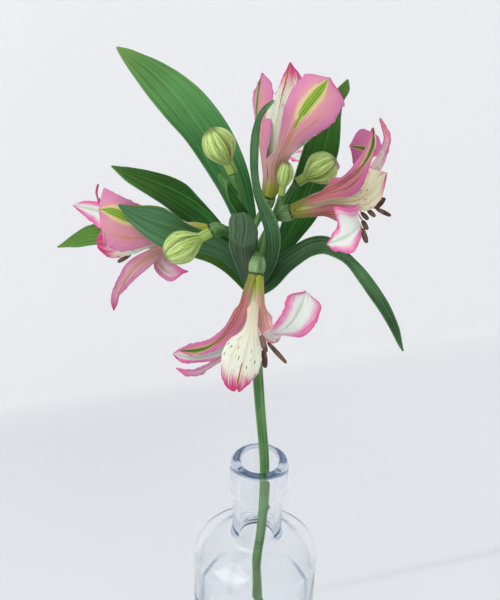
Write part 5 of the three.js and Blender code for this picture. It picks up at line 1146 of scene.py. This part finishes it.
def anther(bm, foot, tip):
    """Two long lobes side by side, with a groove between them."""
    foot, tip = Vector(foot), Vector(tip)
    along = tip - foot
    side, normal = across(along.normalized(), Vector((0.2, 0.5, 0.9)))

    def centre(u):
        return foot + along * (u * 1.08 - 0.08), side, normal

    def radius(u, angle):
        girth = (sin(pi * (0.06 + 0.88 * u)) ** 0.45) if 0 < u < 1 else 0
        groove = 1 - 0.28 * abs(sin(angle)) ** 6 - 0.1 * abs(sin(angle))
        return ANTHER_RADIUS * girth * groove
    tube(bm, 14, 20, centre, radius, 1)


filament = plant_skin("filament_pink", 0.4)
filament.coat(filament.mix(filament.smooth(filament.noise(filament.spot(), 160, 2), 0.35, 0.65),
                           (0.62, 0.25, 0.32, 1), (0.72, 0.45, 0.45, 1)))
ripe = plant_skin("anther_brown", 0.7)
patch = ripe.smooth(ripe.noise(ripe.spot(), 260, 3), 0.36, 0.62)
wave = ripe.math("COSINE", ripe.times(ripe.split(ripe.map("blade"))["Y"], 2 * pi))
lobe = ripe.smooth(ripe.math("ABSOLUTE", wave), 0.1, 0.7)
ripe.coat(ripe.mix(ripe.times(lobe, 0.55), (0.055, 0.02, 0.02, 1),
                   ripe.mix(patch, (0.12, 0.055, 0.04, 1), (0.30, 0.20, 0.12, 1))),
          ripe.noise(ripe.spot(), 900, 3), 0.5, 0.0002)
for bloom, (throat, anthers) in STAMENS.items():
    base, w, front, side = seat_frame(bloom)
    seat = base + w * 2.5
    bm = bmesh.new()
    for k, (foot, tip) in enumerate(anthers):
        angle = radians(60 * k)
        out = (front * cos(angle) + side * sin(angle)) * FILAMENT_RING
        stalk(bm, [seat + w * 0.6 + out, Vector(throat) + out, foot],
              (FILAMENT_RADIUS, FILAMENT_RADIUS * 0.8), 24, 8)
        anther(bm, foot, tip)

    def disc_centre(u):
        return seat + w * (1.5 * u), front, side
    tube(bm, 2, 16, disc_centre, lambda u, angle: DISC_RADIUS)
    bmesh.ops.recalc_face_normals(bm, faces=bm.faces)
    set_down(f"stamens_{bloom}", bm, f"stamens_{bloom}", "stamen", filament.material, ripe.material)


# ---------------------------------------------------------------- studio
# A pale table top that turns up softly into a wall, both painted lighter towards the right as painted
# light;
# broad window light from the left and the camera. The wall shows its front alone, so that it hides nothing
# from behind.
SWEEP_FOOT, SWEEP_WAY, SWEEP_RADIUS = Vector((0, 0.25, 0)), Vector((0.949, 0.316, 0)), 0.02
SWEEP_BACK = Vector((-SWEEP_WAY.y, SWEEP_WAY.x, 0))
SWEEP_REACH, WALL_HEIGHT, FLOOR_REACH = 2.2, 1.6, 2.4
BOARD_JOINT = 0.045

sweep = [(-FLOOR_REACH, 0), *drawn(
    (8, (-FLOOR_REACH, 0), (-SWEEP_RADIUS, 0)),
    (12, (-SWEEP_RADIUS, 0), (0, SWEEP_RADIUS), (0, 0))), (0, WALL_HEIGHT)]
bm = bmesh.new()
line = [bm.verts.new(SWEEP_FOOT - SWEEP_WAY * SWEEP_REACH + SWEEP_BACK * b + Vector((0, 0, h)))
        for b, h in sweep]
edges = [bm.edges.new(pair) for pair in zip(line, line[1:])]
pulled = bmesh.ops.extrude_edge_only(bm, edges=edges)["geom"]
moved = [v for v in pulled if isinstance(v, bmesh.types.BMVert)]
bmesh.ops.translate(bm, verts=moved, vec=SWEEP_WAY * 2 * SWEEP_REACH)
for face in bm.faces:
    face.smooth = True
    face.normal_update()
    if face.normal.dot(Vector((0, -1, 1))) < 0:
        face.normal_flip()
mesh = bpy.data.meshes.new("backdrop")
bm.to_mesh(mesh)
bm.free()
room = bpy.data.objects.new("backdrop", mesh)
bpy.context.scene.collection.objects.link(room)

paint = fresh_material("pale_paint", Roughness=0.6)
spot = paint.spot()
behind = paint.node("VectorMath", operation="DOT_PRODUCT")
paint.plug(behind.inputs[0], spot)
behind.inputs[1].default_value = SWEEP_BACK
# painted light: wall and floor grow lighter towards the right, as if more light fell there
painted_light_right = paint.smooth(paint.split(spot)["X"], -0.25, 0.35)
wall = paint.mix(painted_light_right, (0.915, 0.915, 0.925, 1), (0.985, 0.98, 0.98, 1))
floor = paint.mix(painted_light_right, (0.635, 0.645, 0.665, 1), (0.80, 0.81, 0.825, 1))
joint = paint.math("ABSOLUTE", paint.math("SUBTRACT", behind.outputs["Value"], BOARD_JOINT))
joint = paint.times(paint.fade(joint, 0.0005, 0.005),
                    paint.smooth(paint.split(spot)["X"], -0.02, 0.06), 0.4)
cloud = paint.times(paint.smooth(paint.noise(spot, 2.5, 2), 0.35, 0.7), 0.2)
paint.coat(paint.layers(
    paint.mix(paint.smooth(paint.split(spot)["Z"], 0.0, 0.02), floor, wall),
    (joint, (0.60, 0.62, 0.65, 1)), (cloud, (0.86, 0.865, 0.87, 1))))
paint.see_through(paint.node("NewGeometry").outputs["Backfacing"])
mesh.materials.append(paint.material)

WINDOW_PLACE, WINDOW_AIM = Vector((-0.9, -0.6, 1.2)), Vector((0, 0, 0.2))
WINDOW_SIZE = 1.3

window = bpy.data.lights.new("window", "AREA")
window.shape = "RECTANGLE"
window.size = WINDOW_SIZE
window.size_y = WINDOW_SIZE
window.energy = 14
window.color = (0.98, 0.99, 1)
light = bpy.data.objects.new("window", window)
light.location = WINDOW_PLACE
light.rotation_euler = (WINDOW_AIM - WINDOW_PLACE).to_track_quat("-Z", "Y").to_euler()
bpy.context.scene.collection.objects.link(light)
world = bpy.data.worlds.new("pale_room")
world.use_nodes = True
world.node_tree.nodes["Background"].inputs["Color"].default_value = (0.97, 0.98, 1.0, 1)
world.node_tree.nodes["Background"].inputs["Strength"].default_value = 0.78
bpy.context.scene.world = world

CAMERA_PLACE = Vector((-6.9, -377.8, 453.1)) * MM
PITCH, ROLL = radians(31.4), radians(2.1)
SENSOR_WIDTH, FOCAL_LENGTH = 36, 66
lens = bpy.data.cameras.new("camera")
lens.sensor_width = SENSOR_WIDTH
lens.lens = FOCAL_LENGTH
lens.clip_start = 0.01
camera = bpy.data.objects.new("camera", lens)
bpy.context.scene.collection.objects.link(camera)
ahead = Vector((0, cos(PITCH), -sin(PITCH)))
above = Vector((0, sin(PITCH), cos(PITCH)))
right = Vector((1, 0, 0))
across_view = right * cos(ROLL) + above * sin(ROLL)
up_view = above * cos(ROLL) - right * sin(ROLL)
camera.matrix_world = Matrix((*zip(across_view, up_view, -ahead, CAMERA_PLACE), (0, 0, 0, 1)))
bpy.context.scene.camera = camera
bpy.context.scene.view_settings.view_transform = "Standard"
